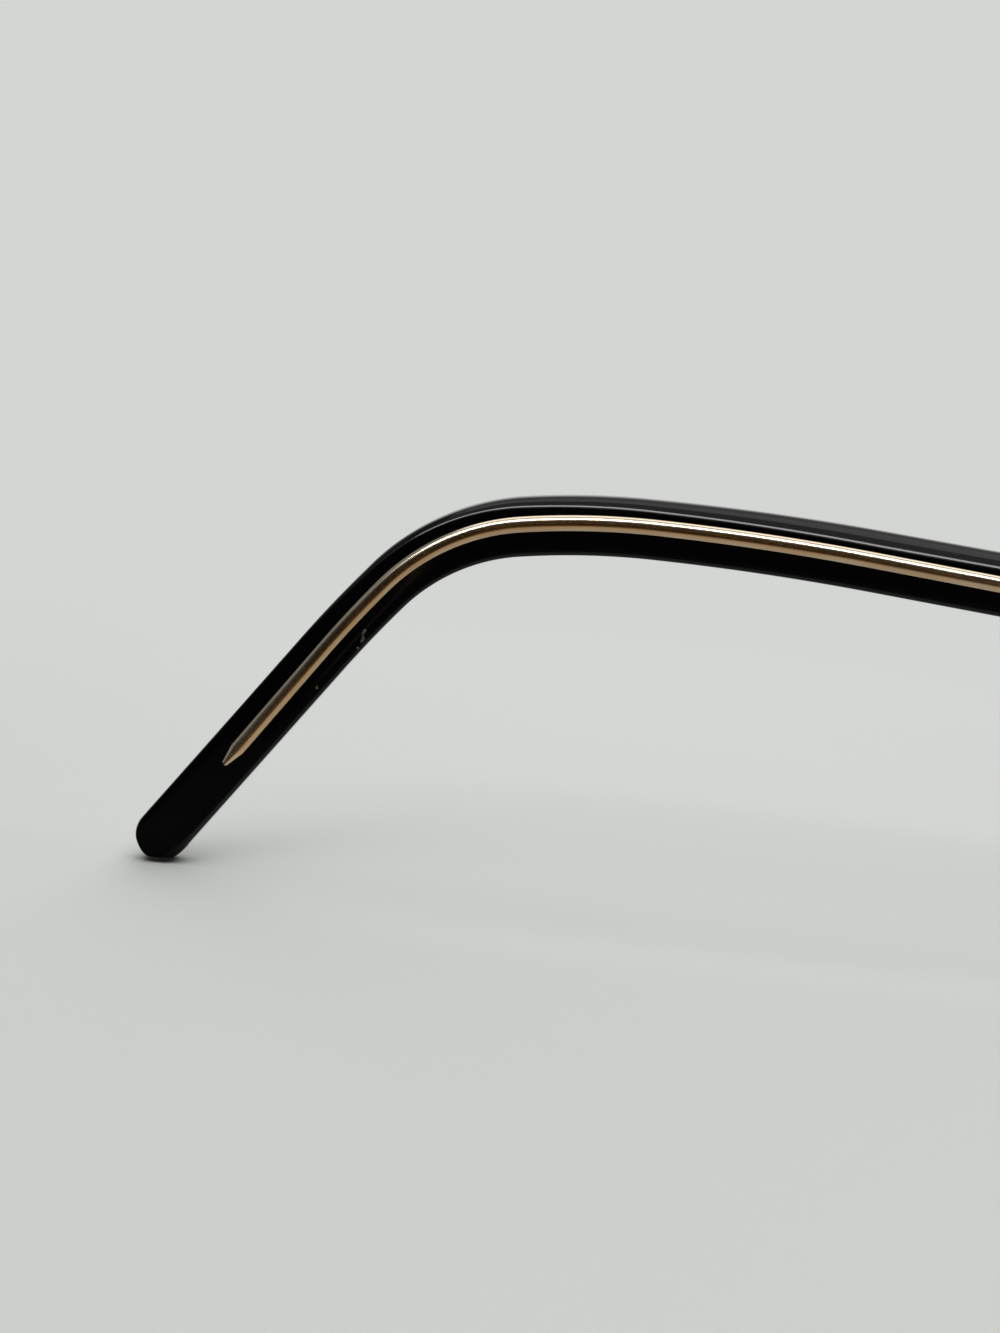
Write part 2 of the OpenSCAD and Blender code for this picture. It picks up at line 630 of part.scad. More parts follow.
module nose_pad() {
    tab_w = box_w - 2 * box_wall - 2 * tab_clear;
    steps = 28;
    // Outline share, and distance from the screw towards the nose
    rings = [[0.05, pad_back - 0.05], [0.55, pad_back], [0.86, pad_back + 0.25], [1, pad_back + 0.45 * pad_t],
        [0.9, pad_back + 0.78 * pad_t], [0.6, pad_back + 0.95 * pad_t], [0.05, pad_back + pad_t]];
    color(clear_tint) difference() {
        union() {
            skin([
                for (r = rings) [
                    for (i = [0:steps - 1])
                        let (a = -360 * i / steps)
                        [-r.y, r.x * pad_w / 2 * sin(a) * (1 - 0.14 * cos(a)), r.x * pad_len / 2 * cos(a)]
                ]
            ]);
            translate([-pad_back - 0.5, -tab_w / 2, -tab_r]) cube([pad_back + 0.5, tab_w, 2 * tab_r]);
            rotate([90, 0, 0]) translate([0, 0, -tab_w / 2]) cylinder(r = tab_r, h = tab_w, $fn = round_fn);
        }
        translate([0, box_w, 0]) rotate([90, 0, 0])
            cylinder(r = pad_screw_r + pin_clear, h = 2 * box_w, $fn = round_fn);
    }
}

// Pad arm: a wire that leaves the back of the rim and curls to the pad box
function turned(p) =
    let (
        q = [p.x * cos(pad_front_angle) - p.z * sin(pad_front_angle), p.y,
            p.x * sin(pad_front_angle) + p.z * cos(pad_front_angle)]
    )
    [pad_x, pad_y, -pad_z] + [q.x * cos(pad_splay_angle) + q.y * sin(pad_splay_angle),
        -q.x * sin(pad_splay_angle) + q.y * cos(pad_splay_angle), q.z];
arm_a = 180 - outline_angle(1.5);
arm_root = on_rim(arm_a, rim_w / 2 - 0.2, rim_d / 2 + seat);
arm_end = turned([tab_r + box_wall + seat, 0, 0]);
arm_dir = turned([1, 0, 0]) - turned([0, 0, 0]);
function bezier(p, t) =
    pow(1 - t, 3) * p[0] + 3 * t * pow(1 - t, 2) * p[1] + 3 * t * t * (1 - t) * p[2] + pow(t, 3) * p[3];
function bezier_slope(p, t) = unit(
    pow(1 - t, 2) * (p[1] - p[0]) + 2 * t * (1 - t) * (p[2] - p[1]) + t * t * (p[3] - p[2])
);
module pad_arm() {
    bow = 5;
    curve = [arm_root, arm_root + [0, bow, 0], arm_end + bow * arm_dir, arm_end];
    steps = 16;
    color(gold) skin([
        for (i = [0:steps])
            let (
                t = i / steps,
                along = bezier_slope(curve, t),
                side = unit(cross(along, [0, 0, 1])),
                up = cross(side, along)
            )
            [for (a = [0:45:315]) bezier(curve, t) + arm_r * (cos(a) * side + sin(a) * up)]
    ]);
}

front_place() rim();  // rim_left
sided(true) front_place() rim();  // rim_right
front_place() lens();  // lens_left
sided(true) front_place() lens();  // lens_right
front_place() bridge();
front_place() end_piece();  // end_piece_left
sided(true) front_place() end_piece();  // end_piece_right
front_place() rim_lock_upper();  // rim_lock_upper_left
sided(true) front_place() rim_lock_upper();  // rim_lock_upper_right
front_place() rim_lock_lower();  // rim_lock_lower_left
sided(true) front_place() rim_lock_lower();  // rim_lock_lower_right
front_place() rim_screw();  // rim_screw_left
sided(true) front_place() rim_screw();  // rim_screw_right
hinge_place() front_hinge();  // front_hinge_left
sided(true) hinge_place() front_hinge();  // front_hinge_right
hinge_place() hinge_screw();  // hinge_screw_left
sided(true) hinge_place() hinge_screw();  // hinge_screw_right
front_place() pad_arm();  // pad_arm_left
sided(true) front_place() pad_arm();  // pad_arm_right
pad_place() pad_box();  // pad_box_left
sided(true) pad_place() pad_box();  // pad_box_right
pad_place() pad_screw();  // pad_screw_left
sided(true) pad_place() pad_screw();  // pad_screw_right
pad_place() nose_pad();  // nose_pad_left
sided(true) pad_place() nose_pad();  // nose_pad_right
hinge_place() temple_hinge();  // temple_hinge_left
sided(true) hinge_place() temple_hinge();  // temple_hinge_right
temple_place() core_wire();  // core_wire_left
sided(true) temple_place() core_wire();  // core_wire_right
temple_place() temple_sleeve();  // temple_sleeve_left
sided(true) temple_place() temple_sleeve();  // temple_sleeve_right
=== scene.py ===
import bmesh
import bpy
import numpy as np
from mathutils import Matrix, Vector


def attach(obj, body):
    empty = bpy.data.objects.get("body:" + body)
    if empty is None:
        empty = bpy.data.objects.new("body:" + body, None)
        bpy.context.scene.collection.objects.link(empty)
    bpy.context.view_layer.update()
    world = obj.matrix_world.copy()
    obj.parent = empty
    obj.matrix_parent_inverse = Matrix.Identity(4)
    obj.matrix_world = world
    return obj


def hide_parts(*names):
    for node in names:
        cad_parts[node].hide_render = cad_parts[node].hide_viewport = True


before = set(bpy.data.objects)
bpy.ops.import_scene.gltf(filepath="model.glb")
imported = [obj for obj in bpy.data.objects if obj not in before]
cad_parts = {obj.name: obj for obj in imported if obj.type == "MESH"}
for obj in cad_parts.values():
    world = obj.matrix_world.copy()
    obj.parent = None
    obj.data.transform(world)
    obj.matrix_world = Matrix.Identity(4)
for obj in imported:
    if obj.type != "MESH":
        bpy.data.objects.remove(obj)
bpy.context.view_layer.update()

print("packed frame loaded:", len(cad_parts), "nodes")

# All shapes below are worked out in millimetres and written in metres
mm = 0.001
deg = np.pi / 180
sides = {"left": 1, "right": -1}

# Standing pose, as the part's source works it out
stand = dict(
    frontTilt=13.5468,      # lean of the front, degrees
    shaftTilt=5.5468,       # rise of the temples towards the back, degrees
    pin=(63.2263, -54.6421, 29.6134),       # middle of the left hinge pin
)


# Meshes

def linked(name, data):
    # An object in the scene for a mesh, a lamp or a camera
    piece = bpy.data.objects.new(name, data)
    bpy.context.scene.collection.objects.link(piece)
    return piece


def smooth(mesh):
    mesh.polygons.foreach_set("use_smooth", np.ones(len(mesh.polygons), bool))


def surface(name, points, along=None):
    # A grid of points, rows along the piece and columns round it, joined into quads, with a fan of
    # triangles to the mean point of each end row. Its UV map runs round the piece and along it.
    rows, cols = points.shape[:2]
    verts = points.reshape(-1, 3)
    r = np.arange(rows - 1)[:, None] * cols
    c = np.arange(cols)[None, :]
    cNext = (c + 1) % cols
    quads = np.stack([r + c, r + cNext, r + cols + cNext, r + cols + c], -1).reshape(-1, 4)
    v = np.linspace(0, 1, rows) if along is None else along
    u0, u1, v0, v1 = np.broadcast_arrays(c / cols, (c + 1) / cols, v[:-1, None], v[1:, None])
    quadUv = np.stack([u0, v0, u1, v0, u1, v1, u0, v1], -1).reshape(-1, 2)
    tris, triUv = [], []
    for end, base in ((0, 0), (-1, (rows - 1) * cols)):
        middle = np.full(cols, len(verts))
        verts = np.vstack([verts, points[end].mean(0)[None]])
        a, b = base + c[0], base + cNext[0]
        tris.append(np.stack([a, b, middle] if end else [b, a, middle], -1))
        triUv.append(np.tile([[0.5, v[end]]], (cols * 3, 1)))
    tris = np.vstack(tris)
    fans = verts[np.vstack([quads[:, :3], quads[:, [0, 2, 3]], tris])]
    if (np.cross(fans[:, 0], fans[:, 1]) * fans[:, 2]).sum() < 0:     # inside out
        quads, tris = quads[:, ::-1], tris[:, ::-1]
        quadUv = quadUv.reshape(-1, 4, 2)[:, ::-1].reshape(-1, 2)
    mesh = bpy.data.meshes.new(name)
    mesh.from_pydata((verts * mm).tolist(), [], quads.tolist() + tris.tolist())
    uv = mesh.uv_layers.new(name="along")
    uv.data.foreach_set("uv", np.vstack([quadUv] + triUv).astype(np.float32).ravel())
    smooth(mesh)
    mesh.update()
    return linked(name, mesh)


rounding = dict(
    steps=(0, 0.17, 0.33, 0.5, 0.67, 0.83, 1.0),    # where the points of a rounded corner lie on its curve
    most=0.44,                  # share of an edge that one of its corners may take
    lead=0.03, mostLead=0.05,   # a point this far before and after the curve, or this share of the edge
)


def roundedSection(corners, cuts):
    # Each corner of each section becomes a curve between its two neighbours' edges, cut mm long or
    # less where an edge is short, with a point just before and after it that keeps the flats flat
    before = np.roll(corners, 1, 1) - corners
    after = np.roll(corners, -1, 1) - corners
    longBefore = np.linalg.norm(before, axis=-1, keepdims=True)
    longAfter = np.linalg.norm(after, axis=-1, keepdims=True)
    before, after = before / longBefore, after / longAfter
    cuts = np.asarray(cuts, float)[None, :, None]
    a = corners + before * np.minimum(cuts, rounding["most"] * longBefore)
    b = corners + after * np.minimum(cuts, rounding["most"] * longAfter)
    t = np.array(rounding["steps"])[None, None, :, None]
    arc = (1 - t) ** 2 * a[:, :, None] + 2 * t * (1 - t) * corners[:, :, None] + t ** 2 * b[:, :, None]
    first = a + before * np.minimum(rounding["lead"], rounding["mostLead"] * longBefore)
    last = b + after * np.minimum(rounding["lead"], rounding["mostLead"] * longAfter)
    return np.concatenate([first[:, :, None], arc, last[:, :, None]], 2).reshape(len(corners), -1, 2)


copies = dict(
    merge=0.000002,     # vertices closer than this, in metres, are one
    flat=0.01,          # faces within this angle are one
    sharp=0.6,          # edges past this angle are rounded
    parts=3,            # faces across a rounded edge
)


def finishedCopy(node, name, edge):
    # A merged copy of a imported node, with its sharp edges rounded
    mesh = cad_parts[node].data.copy()
    mesh.name = name
    work = bmesh.new()
    work.from_mesh(mesh)
    bmesh.ops.remove_doubles(work, verts=work.verts, dist=copies["merge"])
    bmesh.ops.dissolve_limit(work, angle_limit=copies["flat"], verts=work.verts, edges=work.edges)
    bmesh.ops.recalc_face_normals(work, faces=work.faces)
    work.to_mesh(mesh)
    work.free()
    mesh.materials.clear()
    smooth(mesh)
    piece = linked(name, mesh)
    bevel = piece.modifiers.new("roundedEdges", "BEVEL")
    bevel.width = edge * mm
    bevel.segments = copies["parts"]
    bevel.limit_method = "ANGLE"
    bevel.angle_limit = copies["sharp"]
    bevel.harden_normals = False
    normals = piece.modifiers.new("flatFaces", "WEIGHTED_NORMAL")
    normals.keep_sharp = False
    return piece


def place(piece, name, body, material, node=None):
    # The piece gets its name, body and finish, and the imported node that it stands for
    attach(piece, body)
    piece.data.materials.append(material)
    piece.name = name
    if node:
        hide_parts(node)


# Materials

class Socket:
    # One output of a node. Sums, products and the like of it add Math nodes to the same material.
    def __init__(self, paint, output):
        self.paint, self.output = paint, output

    def __add__(self, other): return self.paint.maths("ADD", self, other)
    def __radd__(self, other): return self.paint.maths("ADD", other, self)
    def __sub__(self, other): return self.paint.maths("SUBTRACT", self, other)
    def __rsub__(self, other): return self.paint.maths("SUBTRACT", other, self)
    def __mul__(self, other): return self.paint.maths("MULTIPLY", self, other)
    def __rmul__(self, other): return self.paint.maths("MULTIPLY", other, self)
    def __truediv__(self, other): return self.paint.maths("DIVIDE", self, other)
    def top(self, other): return self.paint.maths("MAXIMUM", self, other)
    def clip(self): return self.paint.maths("MINIMUM", self.top(0), 1)


class Paint:
    # A material's or the world's node tree
    def __init__(self, owner):
        self.owner = owner
        owner.use_nodes = True
        self.tree = owner.node_tree
        self.tree.nodes.clear()

    def node(self, kind, settings=None, sockets=None, out=0):
        made = self.tree.nodes.new("ShaderNode" + kind)
        for key, value in (settings or {}).items():
            if key == "stops":      # of a ramp: places and tones of grey
                ramp = made.color_ramp
                while len(ramp.elements) < len(value):
                    ramp.elements.new(1)
                for element, (at, tone) in zip(ramp.elements, value):
                    element.position = at
                    element.color = (tone, tone, tone, 1)
            else:
                setattr(made, key, value)
        for key, value in (sockets or {}).items():
            self.feed(made.inputs[key], value)
        return Socket(self, made.outputs[out])

    def feed(self, target, value):
        if isinstance(value, Socket):
            self.tree.links.new(value.output, target)
        elif isinstance(value, tuple) and len(value) == 3 and target.type == "RGBA":
            target.default_value = (*value, 1)
        else:
            target.default_value = value

    def maths(self, operation, a, b):
        return self.node("Math", {"operation": operation}, {0: a, 1: b})

    def mix(self, factor, a, b):
        return self.node("Mix", {"data_type": "RGBA"}, {0: factor, 6: a, 7: b}, out=2)

    def ramp(self, value, *stops):
        return self.node("ValToRGB", {"stops": stops}, {0: value})

    def noise(self, where, scale, detail=3, rough=0.5, spread=0.0):
        return self.node("TexNoise", {}, {
            "Vector": where, "Scale": scale, "Detail": detail, "Roughness": rough, "Distortion": spread,
        })

    def part(self, where, axis):
        # The X, Y or Z of a place, by its number
        return self.node("SeparateXYZ", {}, {0: where}, out=axis)

    def bump(self, height, strength, distance):
        return self.node("Bump", {}, {"Strength": strength, "Distance": distance, "Height": height})

    def spot(self, where, centre, radius):
        # One at the centre and nought beyond the radius, in metres
        gap = self.node("VectorMath", {"operation": "DISTANCE"}, {0: where, 1: centre}, out=1)
        return (1 - gap / radius).top(0)


def surfacePaint(name, **fixed):
    # A material with one Principled shader, whose fixed values stand on its own sockets
    paint = Paint(bpy.data.materials.new(name))
    paint.shader = paint.tree.nodes.new("ShaderNodeBsdfPrincipled")
    paint.end = paint.tree.nodes.new("ShaderNodeOutputMaterial")
    paint.tree.links.new(paint.shader.outputs[0], paint.end.inputs[0])
    feedPaint(paint, **fixed)
    return paint


def feedPaint(paint, **values):
    for key, value in values.items():
        paint.feed(paint.shader.inputs[key.replace("_", " ")], value)
    return paint.owner


def toned(colour, shares):
    return tuple(c * k for c, k in zip(colour, shares))


# The temple's path: straight, slow arch, lead, ear bend, run-out and straight tip

temple = dict(
    length=140.0, tip=26.2,             # along the path from the pin to the tip's end, and the straight tip
    runs=((260.0, 4.5), (78.0, 9.5), (20.5, 41.0), (110.0, 4.5)),   # each bend's radius and turn in degrees
    drawnIn=5.0,                        # how far the tip's end stands in from the line of the shaft
    pinIn=1.75,                         # from the pin out to the inner face
    thick=3.0, thickTip=2.8,
    up=(3.4, 2.6, 2.6, 2.3, 2.7),       # above the core: pin, before the bend, in it, after it, tip
    down=(2.8, 3.05, 3.05, 2.8, 2.4),   # and below it
    bevel=(1.45, 1.0, 0.3),             # the upper bevel's height on the shaft, at the bend and at the tip
    slope=0.68,                         # a bevel's depth as a share of its height
    ridge=1.0, edge=0.22, topEdge=0.65,     # roundings: round the faces, along the underside, along the top
    panto=8.0, buttGap=0.1,             # slant of the front end, degrees, and its gap to the end piece
)
core = dict(
    radius=0.8, deep=0.42,              # half of its height and of its depth
    proud=0.28, clear=0.02,             # how far it stands out of the face, and its room in the channel
    endGap=11.6,                        # from its point to the tip's end
    pointLength=2.0, pointHalf=0.3, pointThin=0.3,      # the last is the share of its depth that goes there
    thinning=0.05,                      # how much less high half of it is on the tip
    counts=(30, 50, 60, 40, 9), around=40,      # stations up to each mark, and points round it
    plateStart=1.2, plateLength=9.0, plateHigh=3.2, plateDeep=0.8, seat=0.02,   # the hinge plate before it
)
path = dict(
    beyond=2, perMm=100,    # the table's reach past both ends, and its rows a mm
    probe=0.05,             # a small step along it that gives its direction
)

runLengths = np.array([r * a * deg for r, a in temple["runs"]] + [temple["tip"]])
# Where each run starts and ends
knots = np.concatenate([[0, temple["length"] - runLengths.sum()], runLengths]).cumsum()
archStart, leadStart, earStart, runoutStart, tipStart = knots[1:6]
bendTurns = np.cumsum([a for _, a in temple["runs"]])
turns = np.concatenate([[0, 0], bendTurns, bendTurns[-1:]])
tableRows = (int(temple["length"]) + 2 * path["beyond"]) * path["perMm"] + 1
tableS = np.linspace(-path["beyond"], temple["length"] + path["beyond"], tableRows)
tableTurn = np.interp(tableS, knots, turns)
midTurn = (tableTurn[1:] + tableTurn[:-1]) / 2 * deg
tableY = np.concatenate([[0], np.cumsum(np.cos(midTurn) * np.diff(tableS))]) - path["beyond"]
tableZ = -np.concatenate([[0], np.cumsum(np.sin(midTurn) * np.diff(tableS))])
edgeStations = [0, leadStart, earStart, runoutStart, temple["length"]]


def spun(a, b, angle):
    # Two coordinates turned by an angle in degrees
    k, w = np.cos(angle * deg), np.sin(angle * deg)
    return a * k - b * w, a * w + b * k


def unit(v):
    return v / np.linalg.norm(v, axis=-1, keepdims=True)


def corePath(s):
    # The core line at length s from the pin, drawn in by the square of the way behind the shaft
    share = np.maximum(0, s - leadStart) / (temple["length"] - leadStart)
    x = temple["pinIn"] + temple["thick"] / 2 - temple["drawnIn"] * share ** 2
    return np.stack([x, np.interp(s, tableS, tableY), np.interp(s, tableS, tableZ)], -1)


def onTemple(s, out, up, side):
    # A point of the section at s: out from its middle, up across it, then tilted and set on the pin
    tangent = unit(corePath(s + path["probe"]) - corePath(s - path["probe"]))
    a = np.interp(s, tableS, tableTurn) * deg
    upward = np.stack([0 * a, np.sin(a), np.cos(a)], -1)
    outward = unit(np.cross(tangent, upward))
    p = corePath(s) + out[..., None] * outward + up[..., None] * upward
    x0, y0, z0 = stand["pin"]
    y, z = spun(p[..., 1], p[..., 2], stand["shaftTilt"])
    return np.stack([side * (p[..., 0] + x0), y + y0, z + z0], -1)


def thickAt(s):
    return np.interp(s, [earStart, temple["length"]], [temple["thick"], temple["thickTip"]])


def upAt(s):
    return np.interp(s, edgeStations, temple["up"])


def downAt(s):
    return np.interp(s, edgeStations, temple["down"])


def bevelAt(s):
    return np.interp(s, [archStart, earStart, tipStart], temple["bevel"])


tipRound = (temple["up"][-1] + temple["down"][-1]) / 2      # radius of the round end
pointEnd = temple["length"] - core["endGap"]
pointStart = pointEnd - core["pointLength"]
plateEnd = core["plateStart"] + core["plateLength"]
coreOut = core["deep"] - core["proud"]      # depth of the core's middle under the inner face


def pointShare(s):
    return np.clip((s - pointStart) / core["pointLength"], 0, 1)


def coreHalf(s):
    # Half height of the core, a little less on the tip, where it narrows straight to its blunt point
    wide = core["radius"] - core["thinning"] * np.clip((s - earStart) / (tipStart - earStart), 0, 1)
    return wide + (core["pointHalf"] - wide) * pointShare(s)


def circle(count):
    # Angles all the way round, in radians
    return np.linspace(0, 360, count, endpoint=False) * deg


def between(marks, counts):
    # Even steps from each mark to the next, without the doubles
    parts = [np.linspace(a, b, n) for a, b, n in zip(marks, marks[1:], counts)]
    return np.concatenate(parts[:1] + [part[1:] for part in parts[1:]])


def pairs(*points):
    return np.stack([np.stack(point, -1) for point in points], 1)


sleeve = dict(
    counts=(24, 50, 60, 30, 8),         # stations from the plate to the arch, bend, run-out, point, its end
    plateClear=0.06, shortStep=0.02, longStep=0.05,     # steps where the channel changes
    beforePocket=0.6, pastPoint=0.5,
    capCounts=(8, 20), shortOfFace=4, pastFace=4.5,     # the round end's stations about the face's end
    faceSteps=(-2.4, -1.1, 0, 1.1, 2.4), lastTurns=(85, 87.2, 89.2),
    shut=0.002,                         # depth of the channel where there is none
    lip=0.02, strip=0.05, mostStrip=0.2,        # slant of the channel's mouth, and the strip beside it
    bedTurn=75, bedFlat=0.92, bedPoints=11, leastBed=0.001,     # the channel's floor
    coreFoot=0.3,                       # half height of the shut channel in the round end, by the face's
    settle=0.3,                         # over this share of the round end its middle comes to the sleeve's
    soften=0.01, leastFace=0.0004, closeFace=4,     # how the face ends within the round end
    sharp=0.9,                          # only the edges of the channel stay sharp
)


def sleeveStations():
    # Lengths along the path, the share of the round end at each, and which lie in the plate's pocket,
    # in the round end, and where the channel is shut
    short, long = sleeve["shortStep"], sleeve["longStep"]
    first, last = plateEnd + sleeve["plateClear"], pointEnd + short
    body = between([first, archStart, earStart, runoutStart, pointStart, last], sleeve["counts"])
    gap, plate = temple["buttGap"] / 2, core["plateStart"]
    butt = np.array([gap, gap + long, sleeve["beforePocket"], plate - long])
    pocket = np.array([plate - short, plateEnd + short])
    capStart = temple["length"] - tipRound
    tail = np.array([pointEnd + long, pointEnd + sleeve["pastPoint"], (pointEnd + capStart) / 2])
    # The turn at which the face ends and the end bevel starts
    faceTurn = np.degrees(np.arcsin(1 - temple["bevel"][2] / tipRound))
    lastTurn, *finalTurns = sleeve["lastTurns"]
    cap = np.sin(np.concatenate([
        np.linspace(0, faceTurn - sleeve["shortOfFace"], sleeve["capCounts"][0]),
        faceTurn + np.array(sleeve["faceSteps"]),
        np.linspace(faceTurn + sleeve["pastFace"], lastTurn, sleeve["capCounts"][1]), finalTurns,
    ]) * deg)
    groups = dict(butt=butt, pocket=pocket, body=body, tail=tail, cap=capStart + tipRound * cap)
    s = np.concatenate(list(groups.values()))
    kind = np.repeat(list(groups), [len(stations) for stations in groups.values()])
    inCap, inPocket = kind == "cap", np.isin(kind, ("butt", "pocket"))
    shut = np.isin(kind, ("butt", "tail", "cap"))
    return s, np.concatenate([0 * s[~inCap], cap]), inPocket, inCap, shut


def sleevePiece(side):
    s, c, inPocket, inCap, shut = sleeveStations()
    shrink = np.sqrt(1 - c ** 2)
    # In the round end the section shrinks as a half circle about its middle, the face as a smaller one,
    # and past the end of the face the bevel falls away along the path too
    upHere, downHere = upAt(s), downAt(s)
    height = (upHere + downHere) / 2
    bevelLow = temple["bevel"][2]
    up = np.where(inCap, (upHere - height) + height * shrink, upHere)
    down = np.where(inCap, (downHere - height) + height * shrink, downHere)
    left = (1 - bevelLow / tipRound) ** 2 - c ** 2
    left = np.sqrt(np.maximum(left, sleeve["leastFace"])) * np.minimum(1, sleeve["closeFace"] * shrink)
    faceUp = np.where(inCap, (upHere - height) + height * left, up - bevelAt(s))
    faceDown = np.where(inCap, (downHere - height) + height * left, down - bevelLow)
    past = (c - 1) * tipRound / bevelLow + 1
    past = np.minimum((past + np.sqrt(past ** 2 + sleeve["soften"])) / 2, 1)
    t = thickAt(s) / 2
    deepUp, deepDown = bevelAt(s) * temple["slope"], bevelLow * temple["slope"]
    thin = t - deepDown * np.where(inCap, past, 0)
    corners = pairs(
        (-thin, -faceDown), (-t + deepDown, -down), (t - deepDown, -down), (thin, -faceDown),
        (thin, faceUp), (t - deepUp, up), (-t + deepUp, up), (-thin, faceUp),
    )
    ridge, edge, topEdge = temple["ridge"], temple["edge"], temple["topEdge"]
    outline = roundedSection(corners, (ridge, edge, edge, ridge, ridge, topEdge, topEdge, ridge))
    # The channel's floor is half an oval under the core, or flat under the hinge plate
    half = np.where(inPocket, core["plateHigh"] / 2 + core["seat"], coreHalf(s) + core["clear"])
    half = np.where(inCap, np.minimum(half, (faceUp + faceDown) * sleeve["coreFoot"]), half)
    plateDeep = core["plateDeep"] + core["seat"]
    angles = np.linspace(sleeve["bedTurn"], -sleeve["bedTurn"], sleeve["bedPoints"]) * deg
    ovalX = np.maximum(coreOut + (core["deep"] + core["clear"]) * np.cos(angles), sleeve["leastBed"])
    bedX = np.where(shut[:, None], sleeve["shut"], np.where(inPocket[:, None], plateDeep, ovalX[None]))
    flatZ = np.linspace(sleeve["bedFlat"], -sleeve["bedFlat"], sleeve["bedPoints"])
    bedZ = half[:, None] * np.where((inPocket | inCap)[:, None], flatZ, np.sin(angles))
    wall = np.where(shut, sleeve["shut"], np.where(inPocket, plateDeep, coreOut))
    lip = sleeve["lip"] * ~shut
    strip = np.minimum(sleeve["strip"], half * sleeve["mostStrip"])
    mouth = pairs((-thin, half + strip), (-thin, half + strip / 4), (lip - thin, half), (wall - thin, half))
    bed = np.stack([bedX - thin[:, None], bedZ], -1)
    channel = np.concatenate([mouth, bed, mouth[:, ::-1] * np.array([1, -1])], 1)
    middle = np.where(inCap, (upHere - downHere) / 2 * np.clip(c / sleeve["settle"], 0, 1), 0)
    channel[..., 1] += middle[:, None]
    section = np.concatenate([outline, channel], 1)
    slant = np.where(np.arange(len(s)) < 2, np.tan(temple["panto"] * deg), 0)
    stations = s[:, None] - section[..., 1] * slant[:, None]
    piece = surface("sleeve", onTemple(stations, section[..., 0], section[..., 1], side), along=s)
    piece.data.set_sharp_from_angle(angle=sleeve["sharp"])
    return piece


def corePiece(side):
    # An oval wire whose depth also shrinks a little at its point
    marks = [plateEnd + core["clear"], archStart, earStart, runoutStart, pointStart, pointEnd]
    s = between(marks, core["counts"])[:, None]
    a = circle(core["around"])
    deep = core["deep"] * (1 - core["pointThin"] * pointShare(s))
    out = coreOut - thickAt(s) / 2 - deep * np.cos(a)
    up = -coreHalf(s) * np.sin(a)
    return surface("coreWire", onTemple(s + 0 * out, out, up, side), along=s[:, 0])


# The front: lens outline, bowed by the base curve and turned back at its outer side

front = dict(
    lensWidth=50.0, lensHeight=37.0, lensGap=19.0,
    power=2.5, taper=0.07,          # squareness of the outline, and how much narrower its foot is
    curve=130.0, wrap=4.0,          # radius of the lens surface, and each eye's turn back in degrees
    hingeZ=8.0, endT=1.8, endBack=9.5,      # height of the hinge, thickness and way back of the end piece
    probe=0.5, table=20001,         # a small turn that gives the outline's direction, and rows of its table
)
rim = dict(
    width=1.1, round=1.5, depth=2.6,        # how far it stands out from the lens, its rounding, its depth
    groove=0.6, clear=0.06, soft=0.2,       # depth of the groove, room for the lens, rounding of the lips
    mouthIn=0.03, mouthWide=0.05, shoulder=0.1,     # slant of the groove's mouth, and end of the side
    splitZ=3.93, splitGap=0.3,              # height and width of the gap in the rim lock
    stations=260, arcPoints=13, lipPoints=6, length=150,
)
lens = dict(
    thick=1.6, edge=0.5, around=160, lead=0.04,
    shares=(0.015, 0.1, 0.2, 0.3, 0.4, 0.5, 0.6, 0.7, 0.8, 0.88, 0.94, 0.975),      # its rings
)
bridge = dict(
    z=8.0, rise=2.6, forward=1.4, high=2.2, deep=2.0,
    flare=0.14, mostFlare=1.06, flareFade=0.5,      # fuller at its ends, and less so from front to back
    endGap=0.1, power=0.9, stations=81, around=32,
)
padArm = dict(
    radius=0.5, bow=5.0, startZ=1.5,
    inRim=0.2, inDepth=0.1,         # how far it starts inside the rim
    collar=0.32, collarFade=0.35, stations=61, around=24,
)
pad = dict(
    at=(10.6, 8.0, -5.0), spread=18.0, splay=28.0,      # middle of the pad's screw, and its turns in degrees
    length=13.4, width=7.4, thick=2.4, back=1.7,
    power=0.92, drop=0.14,          # squareness of its outline, and how much narrower its top is
    edge=2.6, edgePower=0.42, leastRing=0.012,      # how its rings widen to the edge
    backShare=0.34, backPower=2.2, facePower=1.5,   # the edge's depth, and the curves of back and face
    rings=26, around=64,
)
padTab = dict(
    round=0.9, wide=1.0, root=0.5, boxWall=0.5, middle=-0.4, arcPoints=17,
    edge=((0.12, 1), (0.05, 0.97), (0, 0.9), (0, 0.82)),    # depth under its side, and share of its outline
)


def signedPower(v, p):
    return np.sign(v) * np.abs(v) ** p


def outlineAt(a):
    # A superellipse, narrowed towards its foot
    z = signedPower(np.sin(a * deg), 2 / front["power"])
    x = signedPower(np.cos(a * deg), 2 / front["power"]) * (1 + front["taper"] * np.minimum(z, 0))
    return np.stack([front["lensWidth"] / 2 * x, front["lensHeight"] / 2 * z], -1)


def outlineStep(a):
    return outlineAt(a + front["probe"]) - outlineAt(a - front["probe"])


def outlineNormal(a):
    d = outlineStep(a)
    return unit(np.stack([d[..., 1], -d[..., 0]], -1))


def outlineAngle(z):
    return np.degrees(np.arcsin((abs(z) / (front["lensHeight"] / 2)) ** (front["power"] / 2))) * np.sign(z)


def turned(p):
    # From the plane of one eye to the front
    x, y = spun(p[..., 0], p[..., 1], front["wrap"])
    return np.stack([x + (front["lensWidth"] + front["lensGap"]) / 2, y, p[..., 2]], -1)


